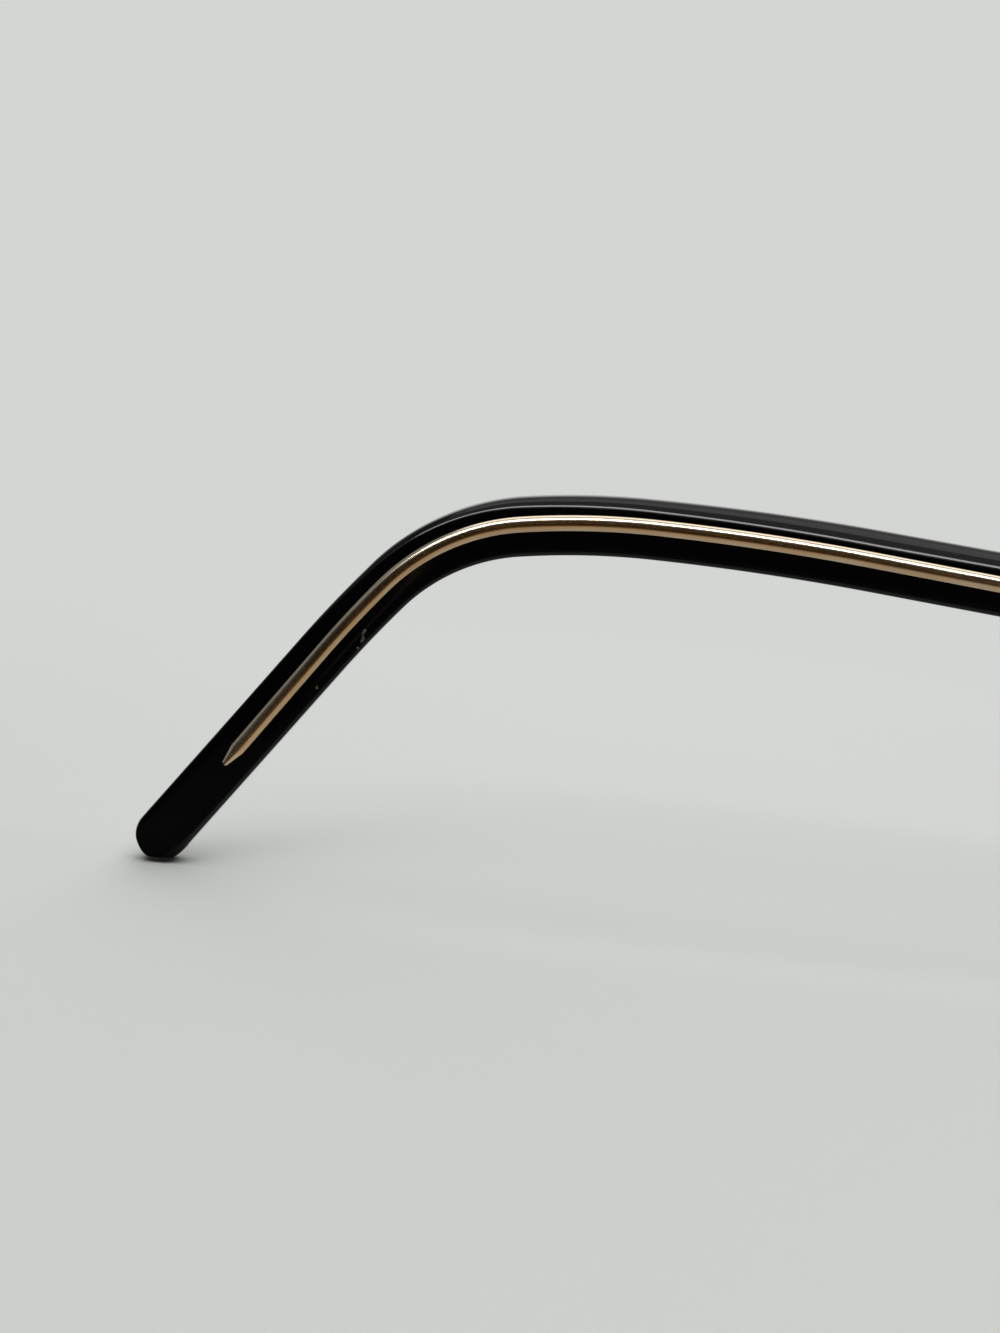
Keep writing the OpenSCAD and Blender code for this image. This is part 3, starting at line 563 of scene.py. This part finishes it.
def onRim(a, r, d):
    # A point of the rim's section at angle a: r outwards along the bowed surface, d back from it
    a, r, d = np.broadcast_arrays(np.asarray(a, float), r, d)
    p, n = outlineAt(a), outlineNormal(a)
    slope = (p * n).sum(-1) / front["curve"]
    k = 1 / np.sqrt(1 + slope ** 2)
    x, z = np.moveaxis(p + (r * k - d * k * slope)[..., None] * n, -1, 0)
    y = (p ** 2).sum(-1) / (2 * front["curve"]) + r * k * slope + d * k
    return turned(np.stack([x, y, z], -1))


def lensFace(k, a, r, d):
    # The lens surface on the way from its middle to its edge, k from 0 to 1
    p = k * (outlineAt(a) + r * outlineNormal(a))
    return turned(np.stack([p[..., 0], d + (p ** 2).sum(-1) / (2 * front["curve"]), p[..., 1]], -1))


def onFront(p, side):
    # From the front's own frame to the standing pose
    x0, y0, z0 = stand["pin"]
    y, z = spun(p[..., 1] - pinY, p[..., 2] - front["hingeZ"], stand["frontTilt"])
    return np.stack([side * p[..., 0], y + y0, z + z0], -1)


endRoot = onRim(outlineAngle(front["hingeZ"]), rim["width"], 0)
pinY = endRoot[1] - front["endT"] / 2 + front["endBack"]


def runOf(line):
    # The length along a line of points at each of them
    return np.concatenate([[0], np.cumsum(np.linalg.norm(np.diff(line, axis=0), axis=1))])


def evenAngles(start, end, count):
    # Angles that lie at equal lengths along the outline
    a = np.linspace(start, end, front["table"])
    run = runOf(outlineAt(a))
    return np.interp(np.linspace(0, run[-1], count), run, a)


def rimPiece(side):
    # A rounded section with its groove, carried round the outline from one side of the split to the other
    splitA = outlineAngle(rim["splitZ"])
    gap = rim["splitGap"] / 2 / np.linalg.norm(outlineStep(splitA))     # in degrees
    a = evenAngles(splitA + gap, splitA + 360 - gap, rim["stations"])
    bend = np.arcsin(rim["depth"] / 2 / rim["round"])
    arc = np.linspace(-bend, bend, rim["arcPoints"])
    across = rim["width"] - rim["round"] + rim["round"] * np.cos(arc)
    outer = np.stack([across, rim["round"] * np.sin(arc)], -1)
    lip, half, soft, clear = -rim["groove"], rim["depth"] / 2, rim["soft"], rim["clear"]
    mouth, floor = lens["thick"] / 2 + clear, lens["edge"] / 2 + clear
    turn = np.linspace(0, 90, rim["lipPoints"]) * deg
    backLip = np.stack([lip + soft - soft * np.sin(turn), half - soft + soft * np.cos(turn)], -1)
    groove = [[lip, mouth + rim["mouthWide"]], [lip + rim["mouthIn"], mouth], [clear, floor]]
    back = np.concatenate([[[rim["shoulder"], half]], backLip, groove])
    section = np.concatenate([outer, back, back[::-1] * np.array([1, -1])])
    points = onRim(a[:, None], section[None, :, 0], section[None, :, 1])
    return surface("rimWire", onFront(points, side), along=np.linspace(0, rim["length"], len(a)))


def lensPiece(side):
    # Two bowed faces and a V bevel, as rings from the middle of the front to the middle of the back
    a = evenAngles(0, 360, lens["around"] + 1)[:-1]
    lip, thick, edge = -rim["groove"] - rim["clear"], lens["thick"] / 2, lens["edge"] / 2
    inner = lip - lens["lead"]
    rings = [lensFace(k, a, lip, -thick) for k in lens["shares"]]
    rings += [onRim(a, r, d) for r, d in (
        (inner, -thick), (lip, -thick), (0.0, -edge), (0.0, edge), (lip, thick), (inner, thick),
    )]
    rings += [lensFace(k, a, lip, thick) for k in lens["shares"][::-1]]
    return surface("lens", onFront(np.stack(rings), side))


def bridgePiece():
    # An oval section on a parabola between the rims, a little fuller where it is brazed to them
    root = onRim(180 - outlineAngle(bridge["z"]), rim["width"] / 2, 0)
    t = np.linspace(-1, 1, bridge["stations"])[:, None]
    x, y = t * (root[0] - bridge["endGap"]), root[1] - bridge["forward"] * (1 - t ** 2)
    z = bridge["z"] + bridge["rise"] * (1 - t ** 2)
    lean = np.arctan2(-2 * bridge["rise"] * t, root[0])
    full = 1 + bridge["flare"] * np.exp(-(1 - np.abs(t)) * root[0] / bridge["flareFade"])
    a = circle(bridge["around"])
    up = bridge["high"] / 2 * signedPower(np.cos(a), bridge["power"]) * full
    back = bridge["deep"] / 2 * signedPower(np.sin(a), bridge["power"])
    back = back * np.minimum(full, bridge["mostFlare"])
    points = np.stack([x - np.sin(lean) * up, y + back, z + np.cos(lean) * up], -1)
    return surface("bridgeBar", onFront(points, 1), along=t[:, 0] * root[0])


def padTurned(p):
    # From the pad's own frame, X away from the nose and Z along the pad, to the front's
    x, z = spun(p[..., 0], p[..., 2], pad["spread"])
    x, y = spun(x, p[..., 1], -pad["splay"])
    return np.stack([x, y, z], -1) + np.array(pad["at"])


def padPiece(side):
    # Rings of a drop-shaped outline: a flat back, a full edge and a crowned face towards the nose
    a = circle(pad["around"])
    # From the middle of the back to the middle of the face
    sweep = np.sin((np.linspace(0, 1, pad["rings"]) * 2 - 1) * 90 * deg)[:, None]
    share = np.clip(1 - np.abs(sweep) ** pad["edge"], 0, 1) ** pad["edgePower"]
    share = np.maximum(share, pad["leastRing"])
    mid = pad["backShare"]
    back, face = 1 - np.abs(sweep) ** pad["backPower"], np.maximum(sweep, 0) ** pad["facePower"]
    depth = pad["back"] + pad["thick"] * np.where(sweep < 0, mid * back, mid + (1 - mid) * face)
    wide = pad["width"] / 2 * signedPower(np.sin(a), pad["power"]) * (1 - pad["drop"] * np.cos(a))
    long = pad["length"] / 2 * signedPower(np.cos(a), pad["power"])
    points = np.stack([0 * a - depth, share * wide, share * long], -1)
    return surface("siliconePad", onFront(padTurned(points), side))


def padTabPiece(side):
    # The tab that the pad screw holds: a plate with a round end, rounded at its edges
    r, w, middle = padTab["round"], padTab["wide"] / 2, padTab["middle"]
    root = -pad["back"] - padTab["root"]
    a = np.linspace(-90, 90, padTab["arcPoints"]) * deg
    outline = np.concatenate([np.stack([r * np.cos(a), r * np.sin(a)], -1), [[root, r], [root, -r]]])
    half = [(w - under, k) for under, k in padTab["edge"]]
    levels = [(-y, k) for y, k in half[::-1]] + half
    points = np.stack([
        np.stack([middle + (outline[:, 0] - middle) * k, np.full(len(outline), y), outline[:, 1] * k], -1)
        for y, k in levels
    ])
    return surface("padTab", onFront(padTurned(points), side))


def padArmPiece(side):
    # A round wire along a cubic curve, with a small collar of braze at the rim
    out, back = rim["width"] / 2 - padArm["inRim"], rim["depth"] / 2 - padArm["inDepth"]
    root = onRim(180 - outlineAngle(padArm["startZ"]), out, back)
    end = padTurned(np.array([padTab["round"] + padTab["boxWall"], 0.0, 0.0]))
    aim = padTurned(np.array([1.0, 0, 0])) - padTurned(np.zeros(3))
    leave, arrive = root + np.array([0, padArm["bow"], 0]), end + padArm["bow"] * aim
    t = np.linspace(0, 1, padArm["stations"])[:, None]
    line = (1 - t) ** 3 * root + 3 * t * (1 - t) ** 2 * leave + 3 * t ** 2 * (1 - t) * arrive + t ** 3 * end
    tangent = unit(np.gradient(line, axis=0))
    across = unit(np.cross(tangent, [0, 0, 1.0]))
    upward = np.cross(across, tangent)
    run = runOf(line)
    radius = padArm["radius"] + padArm["collar"] * np.exp(-run / padArm["collarFade"])
    a = circle(padArm["around"])[None, :, None]
    around = np.cos(a) * across[:, None] + np.sin(a) * upward[:, None]
    return surface("padArm", onFront(line[:, None] + radius[:, None, None] * around, side), along=run)


# Finishes

goldLook = dict(
    toneScale=260.0, fineScale=2600.0, grainScale=5200.0,
    lineScale=(90.0, 0.35, 1.0),        # round a wire and along it
    deeper=(0.86, 0.8, 0.7),            # shares of the base colour in its deeper patches
    squareOnShade=(1.1, 0.76, 0.40),         # and where a wire is seen square on, a painted deeper reflection
    toneGloss=0.06, fineGloss=0.05, lineGloss=0.06, grainGloss=0.25,
    fineHigh=0.3, grainHigh=2.0, bump=0.10, bumpDeep=0.00002,
    wornBelow=0.026,                    # the grain starts at this height, in metres
    paleHighlight=(0.69, 0.58, 0.45), paleHighlightFrom=((0.76, 0), (0.84, 1), (0.94, 1), (0.99, 0)),    # round the wire: a painted highlight, paler on its upper side
)


def goldPaint(name, base, rough, brush=0.0, grain=0.0):
    # Plated or drawn gold: soft shifts of tone and gloss, and fine marks along a wire's length
    look = goldLook
    paint = surfacePaint(name, Metallic=1.0)
    here = paint.node("TexCoord", out=3)
    tone = paint.noise(here, look["toneScale"], detail=4, rough=0.55)
    fine = paint.noise(here, look["fineScale"], rough=0.6)
    colour = paint.mix(paint.ramp(tone, (0.35, 0), (0.7, 1)), base, toned(base, look["deeper"]))
    gloss = rough + (tone - 0.5) * look["toneGloss"] + (fine - 0.5) * look["fineGloss"]
    height = fine * look["fineHigh"]
    if brush:
        uv = paint.node("UVMap", {"uv_map": "along"})
        stretched = paint.node("Mapping", {}, {"Vector": uv, "Scale": look["lineScale"]})
        lines = paint.noise(stretched, 1.0, detail=4, rough=0.65)
        height = height + lines * brush
        gloss = gloss + (lines - 0.5) * look["lineGloss"]
        # Painted reflection: a deeper colour where the wire is seen square on
        facing = paint.node("LayerWeight", {}, {"Blend": 0.5}, out=1)
        square = toned(base, look["squareOnShade"])
        colour = paint.mix(paint.ramp(facing, (0.008, 0), (0.12, 1)), square, colour)
    if grain:
        # Worn and grainy towards the low tip, and painted paler on the upper side, a painted highlight
        spots = paint.noise(here, look["grainScale"], detail=2, rough=0.7, spread=0.4)
        worn = (1 - paint.part(here, 2) / look["wornBelow"]).clip() * grain
        height = height + spots * worn * look["grainHigh"]
        gloss = gloss + spots * worn * look["grainGloss"]
        # Painted highlight: the upper side of the wire is paler
        paleHighlight = paint.ramp(paint.part(uv, 0), *look["paleHighlightFrom"])
        colour = paint.mix(paleHighlight, colour, look["paleHighlight"])
    bump = paint.bump(height, look["bump"], look["bumpDeep"])
    return feedPaint(paint, Base_Color=colour, Roughness=gloss, Normal=bump)


acetateLook = dict(
    cloudScale=90.0, fineScale=3800.0, chipScale=2300.0,
    hairScale=(900.0, 120.0, 2600.0), hairTurn=(0.5, 0.2, 0.1), hairFrom=((0.66, 0), (0.74, 1)),
    dark=(0.0009, 0.0009, 0.0010), lessDark=(0.0020, 0.0020, 0.0020), fleck=(0.30, 0.30, 0.29),
    scuff=1.5, chip=2.2, least=0.75,    # how a scuff and the chips' noise make flecks above a least sum
    gloss=0.055, cloudGloss=0.05, hairGloss=0.10, fleckGloss=0.4,
    fineHigh=0.15, bump=0.06, bumpDeep=0.00001,
)


def acetatePaint(scuffs):
    # Polished black: a deep near-black body, faint hairlines and a few pale flecks where it was handled
    look = acetateLook
    paint = surfacePaint("blackAcetate", Specular_IOR_Level=0.3)
    here = paint.node("TexCoord", out=3)
    cloudy = paint.noise(here, look["cloudScale"])
    combed = paint.node("Mapping", {}, {
        "Vector": here, "Rotation": look["hairTurn"], "Scale": look["hairScale"],
    })
    hair = paint.noise(combed, 1.0, rough=0.6, spread=0.6)
    fine = paint.noise(here, look["fineScale"], detail=2, rough=0.6)
    chips = paint.noise(here, look["chipScale"], detail=2)
    mask = 0.0
    for centre, radius in scuffs:
        mask = paint.spot(here, centre, radius) + mask
    flecks = (mask * look["scuff"] + (chips - 0.5) * look["chip"] - look["least"]).clip()
    body = paint.mix(cloudy, look["dark"], look["lessDark"])
    colour = paint.mix(flecks, body, look["fleck"])
    hairline = paint.ramp(hair, *look["hairFrom"])
    gloss = look["gloss"] + cloudy * look["cloudGloss"] + hairline * look["hairGloss"]
    gloss = gloss + flecks * look["fleckGloss"]
    bump = paint.bump(hairline + fine * look["fineHigh"] + flecks, look["bump"], look["bumpDeep"])
    return feedPaint(paint, Base_Color=colour, Roughness=gloss, Normal=bump)


def lensPaint():
    # Clear resin, with faint smears that only show in the gloss
    paint = surfacePaint("clearResin", IOR=1.5, Transmission_Weight=1.0)
    smear = paint.noise(paint.node("TexCoord", out=3), scale=55.0, detail=4, rough=0.6, spread=0.8)
    tint = paint.mix(smear, (0.985, 0.99, 0.99), (0.97, 0.985, 0.98))
    return feedPaint(paint, Base_Color=tint, Roughness=0.004 + (smear - 0.45).top(0) * 0.05)


def siliconePaint():
    # Soft clear silicone: cloudy inside, satin outside
    paint = surfacePaint("clearSilicone", IOR=1.42, Transmission_Weight=0.72)
    here = paint.node("TexCoord", out=3)
    cloud = paint.noise(here, scale=420.0, rough=0.55)
    skin = paint.noise(here, scale=3000.0, detail=2, rough=0.6)
    colour = paint.mix(cloud, (0.93, 0.935, 0.92), (0.86, 0.865, 0.84))
    bump = paint.bump(skin, strength=0.12, distance=0.00003)
    return feedPaint(paint, Base_Color=colour, Roughness=0.24 + cloud * 0.14, Normal=bump)


def tabPaint():
    # The hard clear plastic that the pad is moulded on
    paint = surfacePaint("padTabPlastic", IOR=1.48, Transmission_Weight=0.5)
    cloud = paint.noise(paint.node("TexCoord", out=3), scale=900.0)
    colour = paint.mix(cloud, (0.9, 0.9, 0.88), (0.8, 0.8, 0.77))
    return feedPaint(paint, Base_Color=colour, Roughness=0.15 + cloud * 0.12)


# Small pale flecks below the core, in the bend and on the tip: along the temple, up the face, and radius
scuffMarks = ((110.4, -2.15, 0.75), (109.6, -1.75, 0.4), (111.3, -2.3, 0.45), (116.8, -1.9, 0.35))
scuffOut = -1.35        # just under the inner face
scuffPlaces = []
for along, up, radius in scuffMarks:
    at = onTemple(np.array(along), np.array(scuffOut), np.array(up), 1)
    scuffPlaces.append((tuple(float(v) * mm for v in at), radius * mm))

gold = goldPaint("platedGold", (0.84, 0.65, 0.40), 0.13)
goldWire = goldPaint("drawnGold", (0.86, 0.66, 0.40), 0.12, brush=1.0)
goldCore = goldPaint("coreGold", (0.70, 0.54, 0.375), 0.155, brush=0.3, grain=1.2)
screwGold = goldPaint("screwGold", (0.78, 0.62, 0.40), 0.2)
acetate = acetatePaint(scuffPlaces)
resin = lensPaint()
silicone = siliconePaint()
tabPlastic = tabPaint()
print("finishes made")

# Pieces: how each is made, its name, body, slot and finish, and the node that it stands for

for label, side in sides.items():
    templeBody, padBody = "temple_" + label, "nose_pad_body_" + label
    for make, name, body, slot, paint, node in (
        (sleevePiece, "sleeve_", templeBody, "black_acetate", acetate, "temple_sleeve_"),
        (corePiece, "core_", templeBody, "gold_core", goldCore, "core_wire_"),
        (rimPiece, "rimWire_", "front", "gold_metal", goldWire, "rim_"),
        (lensPiece, "clearLens_", "front", "clear_resin", resin, "lens_"),
        (padArmPiece, "padWire_", "front", "gold_metal", goldWire, "pad_arm_"),
        (padPiece, "pad_", padBody, "clear_silicone", silicone, "nose_pad_"),
    ):
        place(make(side), name + label, body, paint, node + label)
    place(padTabPiece(side), "padTab_" + label, padBody, tabPlastic)
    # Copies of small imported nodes, with the width of their rounded edges
    for node, body, slot, paint, edge in (
        ("end_piece_", "front", "gold_metal", gold, 0.22),
        ("rim_lock_upper_", "front", "gold_metal", gold, 0.12),
        ("rim_lock_lower_", "front", "gold_metal", gold, 0.12),
        ("front_hinge_", "front", "gold_metal", gold, 0.08),
        ("pad_box_", "front", "gold_metal", gold, 0.08),
        ("temple_hinge_", templeBody, "gold_metal", gold, 0.08),
        ("rim_screw_", "front", "gold_screws", screwGold, 0.07),
        ("hinge_screw_", "front", "gold_screws", screwGold, 0.08),
        ("pad_screw_", "front", "gold_screws", screwGold, 0.05),
    ):
        node += label
        name = node.replace("_", "-")
        place(finishedCopy(node, name, edge), name, body, paint, node)
place(bridgePiece(), "bridgeBar", "front", goldWire, "bridge")
print("pieces made")

# Studio: a pale floor, soft lamps, and cards that only reflections see. Lengths here are in metres.

studio = dict(
    reach=3.0, pale=(0.651, 0.672, 0.644), ambient=(0.06, 0.06, 0.06),
    floorColour=(0.655, 0.675, 0.648), floorDim=0.985,
    fadeFrom=0.13, fadeTo=0.30,             # where the floor turns into the backdrop
    cardX=(-0.13, 0.058, 0.078),            # the dark card: where it stands, and how far it lies forward
    cardY=(-0.2, -0.09, -0.03, 0.26),       # its left end, the turns of the lying part, its right end
    cardHigh=0.125, cardLow=0.0006, cardDark=(0.004, 0.004, 0.004), cardGrey=(0.43, 0.44, 0.425),
    tipFrom=0.035, tipWay=0.03,             # the shaft's part of the lying card turns into the tip's
    greyFrom=-0.035, greyWay=0.04,          # where it turns grey under the shaft
    greyFromTip=0.084, greyWayTip=-0.033,   # and what is added to these by the tip
    endFrom=0.063, endWay=0.004,            # and it is dark again under the tip's end
    greyAt=0.30, greyAcross=(-0.26, 0.12), greyHigh=(0.03, 0.60), greyTone=(0.21, 0.22, 0.21),
)


def plane(name, corners, faces=((0, 1, 2, 3),)):
    mesh = bpy.data.meshes.new(name)
    mesh.from_pydata(corners, [], faces)
    piece = linked(name, mesh)
    return piece


def seenRays(paint):
    # Rays that look at the background: from the camera, in a mirror or through glass
    path = paint.tree.nodes.new("ShaderNodeLightPath")
    kinds = ("Is Camera Ray", "Is Glossy Ray", "Is Transmission Ray")
    camera, glossy, through = (Socket(paint, path.outputs[kind]) for kind in kinds)
    return camera.top(glossy).top(through)


# The floor takes light and shadow near the part, and farther out it fades to the backdrop's own colour
reach = studio["reach"]
floor = plane("floor", [(-reach, -reach, 0), (reach, -reach, 0), (reach, reach, 0), (-reach, reach, 0)])
paint = surfacePaint("paleFloor", Specular_IOR_Level=0.05)
here = paint.node("TexCoord", out=3)
tone = paint.noise(here, scale=9.0)
dimmer = toned(studio["floorColour"], (studio["floorDim"],) * 3)
floorColour = paint.mix(tone, studio["floorColour"], dimmer)
feedPaint(paint, Base_Color=floorColour, Roughness=0.6 + tone * 0.1)
farOut = paint.node("VectorMath", {"operation": "LENGTH"}, {0: here}, out=1)
fade = ((farOut - studio["fadeFrom"]) / (studio["fadeTo"] - studio["fadeFrom"])).clip()
fade = fade * fade * (3 - fade * 2) * seenRays(paint)
glow = paint.node("Emission", {}, {"Color": studio["pale"], "Strength": 1.0})
blend = paint.node("MixShader", {}, {0: fade, 1: Socket(paint, paint.shader.outputs[0]), 2: glow})
paint.feed(paint.end.inputs[0], blend)
floor.data.materials.append(paint.owner)

# A card that only reflections see stands dark behind the camera and lies in front of it: a painted dark
# reflection. The lying part turns grey towards the temple, a painted reflection of the shaded floor, over a
# longer way under the shaft than by the tip
(back, shaftFront, tipFront), (left, leftTurn, tipTurn, right) = studio["cardX"], studio["cardY"]
low, high = studio["cardLow"], studio["cardHigh"]
card = plane("darkCard", [
    (back, left, high), (back, right, high), (back, right, low), (back, left, low),
    (tipFront, right, low), (shaftFront, tipTurn, low), (back, leftTurn, low),
], ((0, 1, 2, 3), (6, 2, 4, 5)))
paint = surfacePaint("darkCardPaint", Roughness=1.0)
here = paint.node("TexCoord", out=3)
cardX, cardY = paint.part(here, 0), paint.part(here, 1)
byTip = ((cardY - studio["tipFrom"]) / studio["tipWay"]).clip()
greyFrom = byTip * studio["greyFromTip"] + studio["greyFrom"]
greyWay = byTip * studio["greyWayTip"] + studio["greyWay"]
rise = ((cardX - greyFrom) / greyWay).clip()
rise = rise * (1 - ((cardY - studio["endFrom"]) / studio["endWay"]).clip())
# Painted reflection: dark, turning grey under the shaft and pale by the tip
cardTone = paint.mix(byTip, studio["cardGrey"], studio["floorColour"])
card.data.materials.append(feedPaint(paint, Base_Color=paint.mix(rise, studio["cardDark"], cardTone)))

# A faintly glowing grey card that only reflections see stands beyond the tips, a painted dim reflection, so
# that the upper side of the wire stays dim there
(left, right), (low, high), at = studio["greyAcross"], studio["greyHigh"], studio["greyAt"]
greyCard = plane("greyCard", [(left, at, low), (right, at, low), (right, at, high), (left, at, high)])
paint = surfacePaint("greyCardPaint", Base_Color=studio["cardDark"], Roughness=1.0,
                     Emission_Color=studio["greyTone"], Emission_Strength=1.0)
greyCard.data.materials.append(paint.owner)
for shade in (card, greyCard):
    shade.visible_camera = shade.visible_diffuse = shade.visible_shadow = shade.visible_transmission = False

world = bpy.data.worlds.new("studio")
bpy.context.scene.world = world
sky = Paint(world)
skyColour = sky.mix(seenRays(sky), studio["ambient"], studio["pale"])
backdrop = sky.node("Background", {}, {"Color": skyColour, "Strength": 1.0})
sky.tree.links.new(backdrop.output, sky.tree.nodes.new("ShaderNodeOutputWorld").inputs[0])

# Lamps: place, size, brightness of the face, the point it looks at, and whether reflections or the
# surfaces themselves don't see it
lamps = dict(
    mainBox=((0.40, 0.02, 0.34), (0.36, 0.60), 1.6, (0.03, 0.02, 0.0), None),
    fillBox=((-0.05, 0.0, 0.55), (0.70, 0.70), 2.02, (0.03, 0.02, 0.0), "visible_glossy"),
    overBox=((-0.06, -0.03, 0.42), (0.11, 0.62), 1.2, (0.04, 0.02, 0.0), "visible_diffuse"),
    topBox=((0.09, -0.03, 0.44), (0.22, 0.62), 0.5, (0.07, 0.02, 0.0), "visible_diffuse"),
    strip=((-0.21, -0.05, 0.211), (0.034, 0.56), 13.5, (0.06, 0.03, 0.03), "visible_diffuse"),
)
for name, (at, size, glow, aim, unseen) in lamps.items():
    lamp = bpy.data.lights.new(name, "AREA")
    lamp.shape = "RECTANGLE"
    lamp.size, lamp.size_y = size
    lamp.energy = glow * np.pi * size[0] * size[1]
    piece = linked(name, lamp)
    piece.location = at
    # The lamp's own Y lies along the world's Y, so its width lies across
    away = Vector(at) - Vector(aim)
    across = Vector((0, 1, 0)).cross(away).normalized()
    along = away.cross(across).normalized()
    piece.rotation_euler = Matrix((across, along, away.normalized())).transposed().to_euler()
    piece.visible_camera = False
    if unseen:
        setattr(piece, unseen, False)

# Camera: between the temples, looking at the inner face of the left one, as in the photograph
view = dict(
    at=(-49.5, 30.109, 42.3), turns=(3.115, -10.16, 5.12),      # mm, and yaw, pitch and roll in degrees
    focal=1211.0, high=1333, sensor=36,         # focal length in pixels of a picture this high
)
yaw, pitch, roll = np.array(view["turns"]) * deg
forward = Vector((np.cos(pitch) * np.cos(yaw), np.cos(pitch) * np.sin(yaw), np.sin(pitch)))
level = Vector((np.sin(yaw), -np.cos(yaw), 0))
upright = level.cross(forward)
right = level * float(np.cos(roll)) + upright * float(np.sin(roll))
top = upright * float(np.cos(roll)) - level * float(np.sin(roll))
cameraData = bpy.data.cameras.new("camera")
cameraData.sensor_width = view["sensor"]
cameraData.lens = view["sensor"] * view["focal"] / view["high"]
cameraData.clip_start, cameraData.clip_end = 0.01, 10
camera = linked("camera", cameraData)
turn = Matrix((right, top, -forward)).transposed().to_4x4()
camera.matrix_world = Matrix.Translation(Vector(view["at"]) * mm) @ turn
bpy.context.scene.camera = camera
bpy.context.scene.view_settings.view_transform = "Standard"
print("studio and camera set")
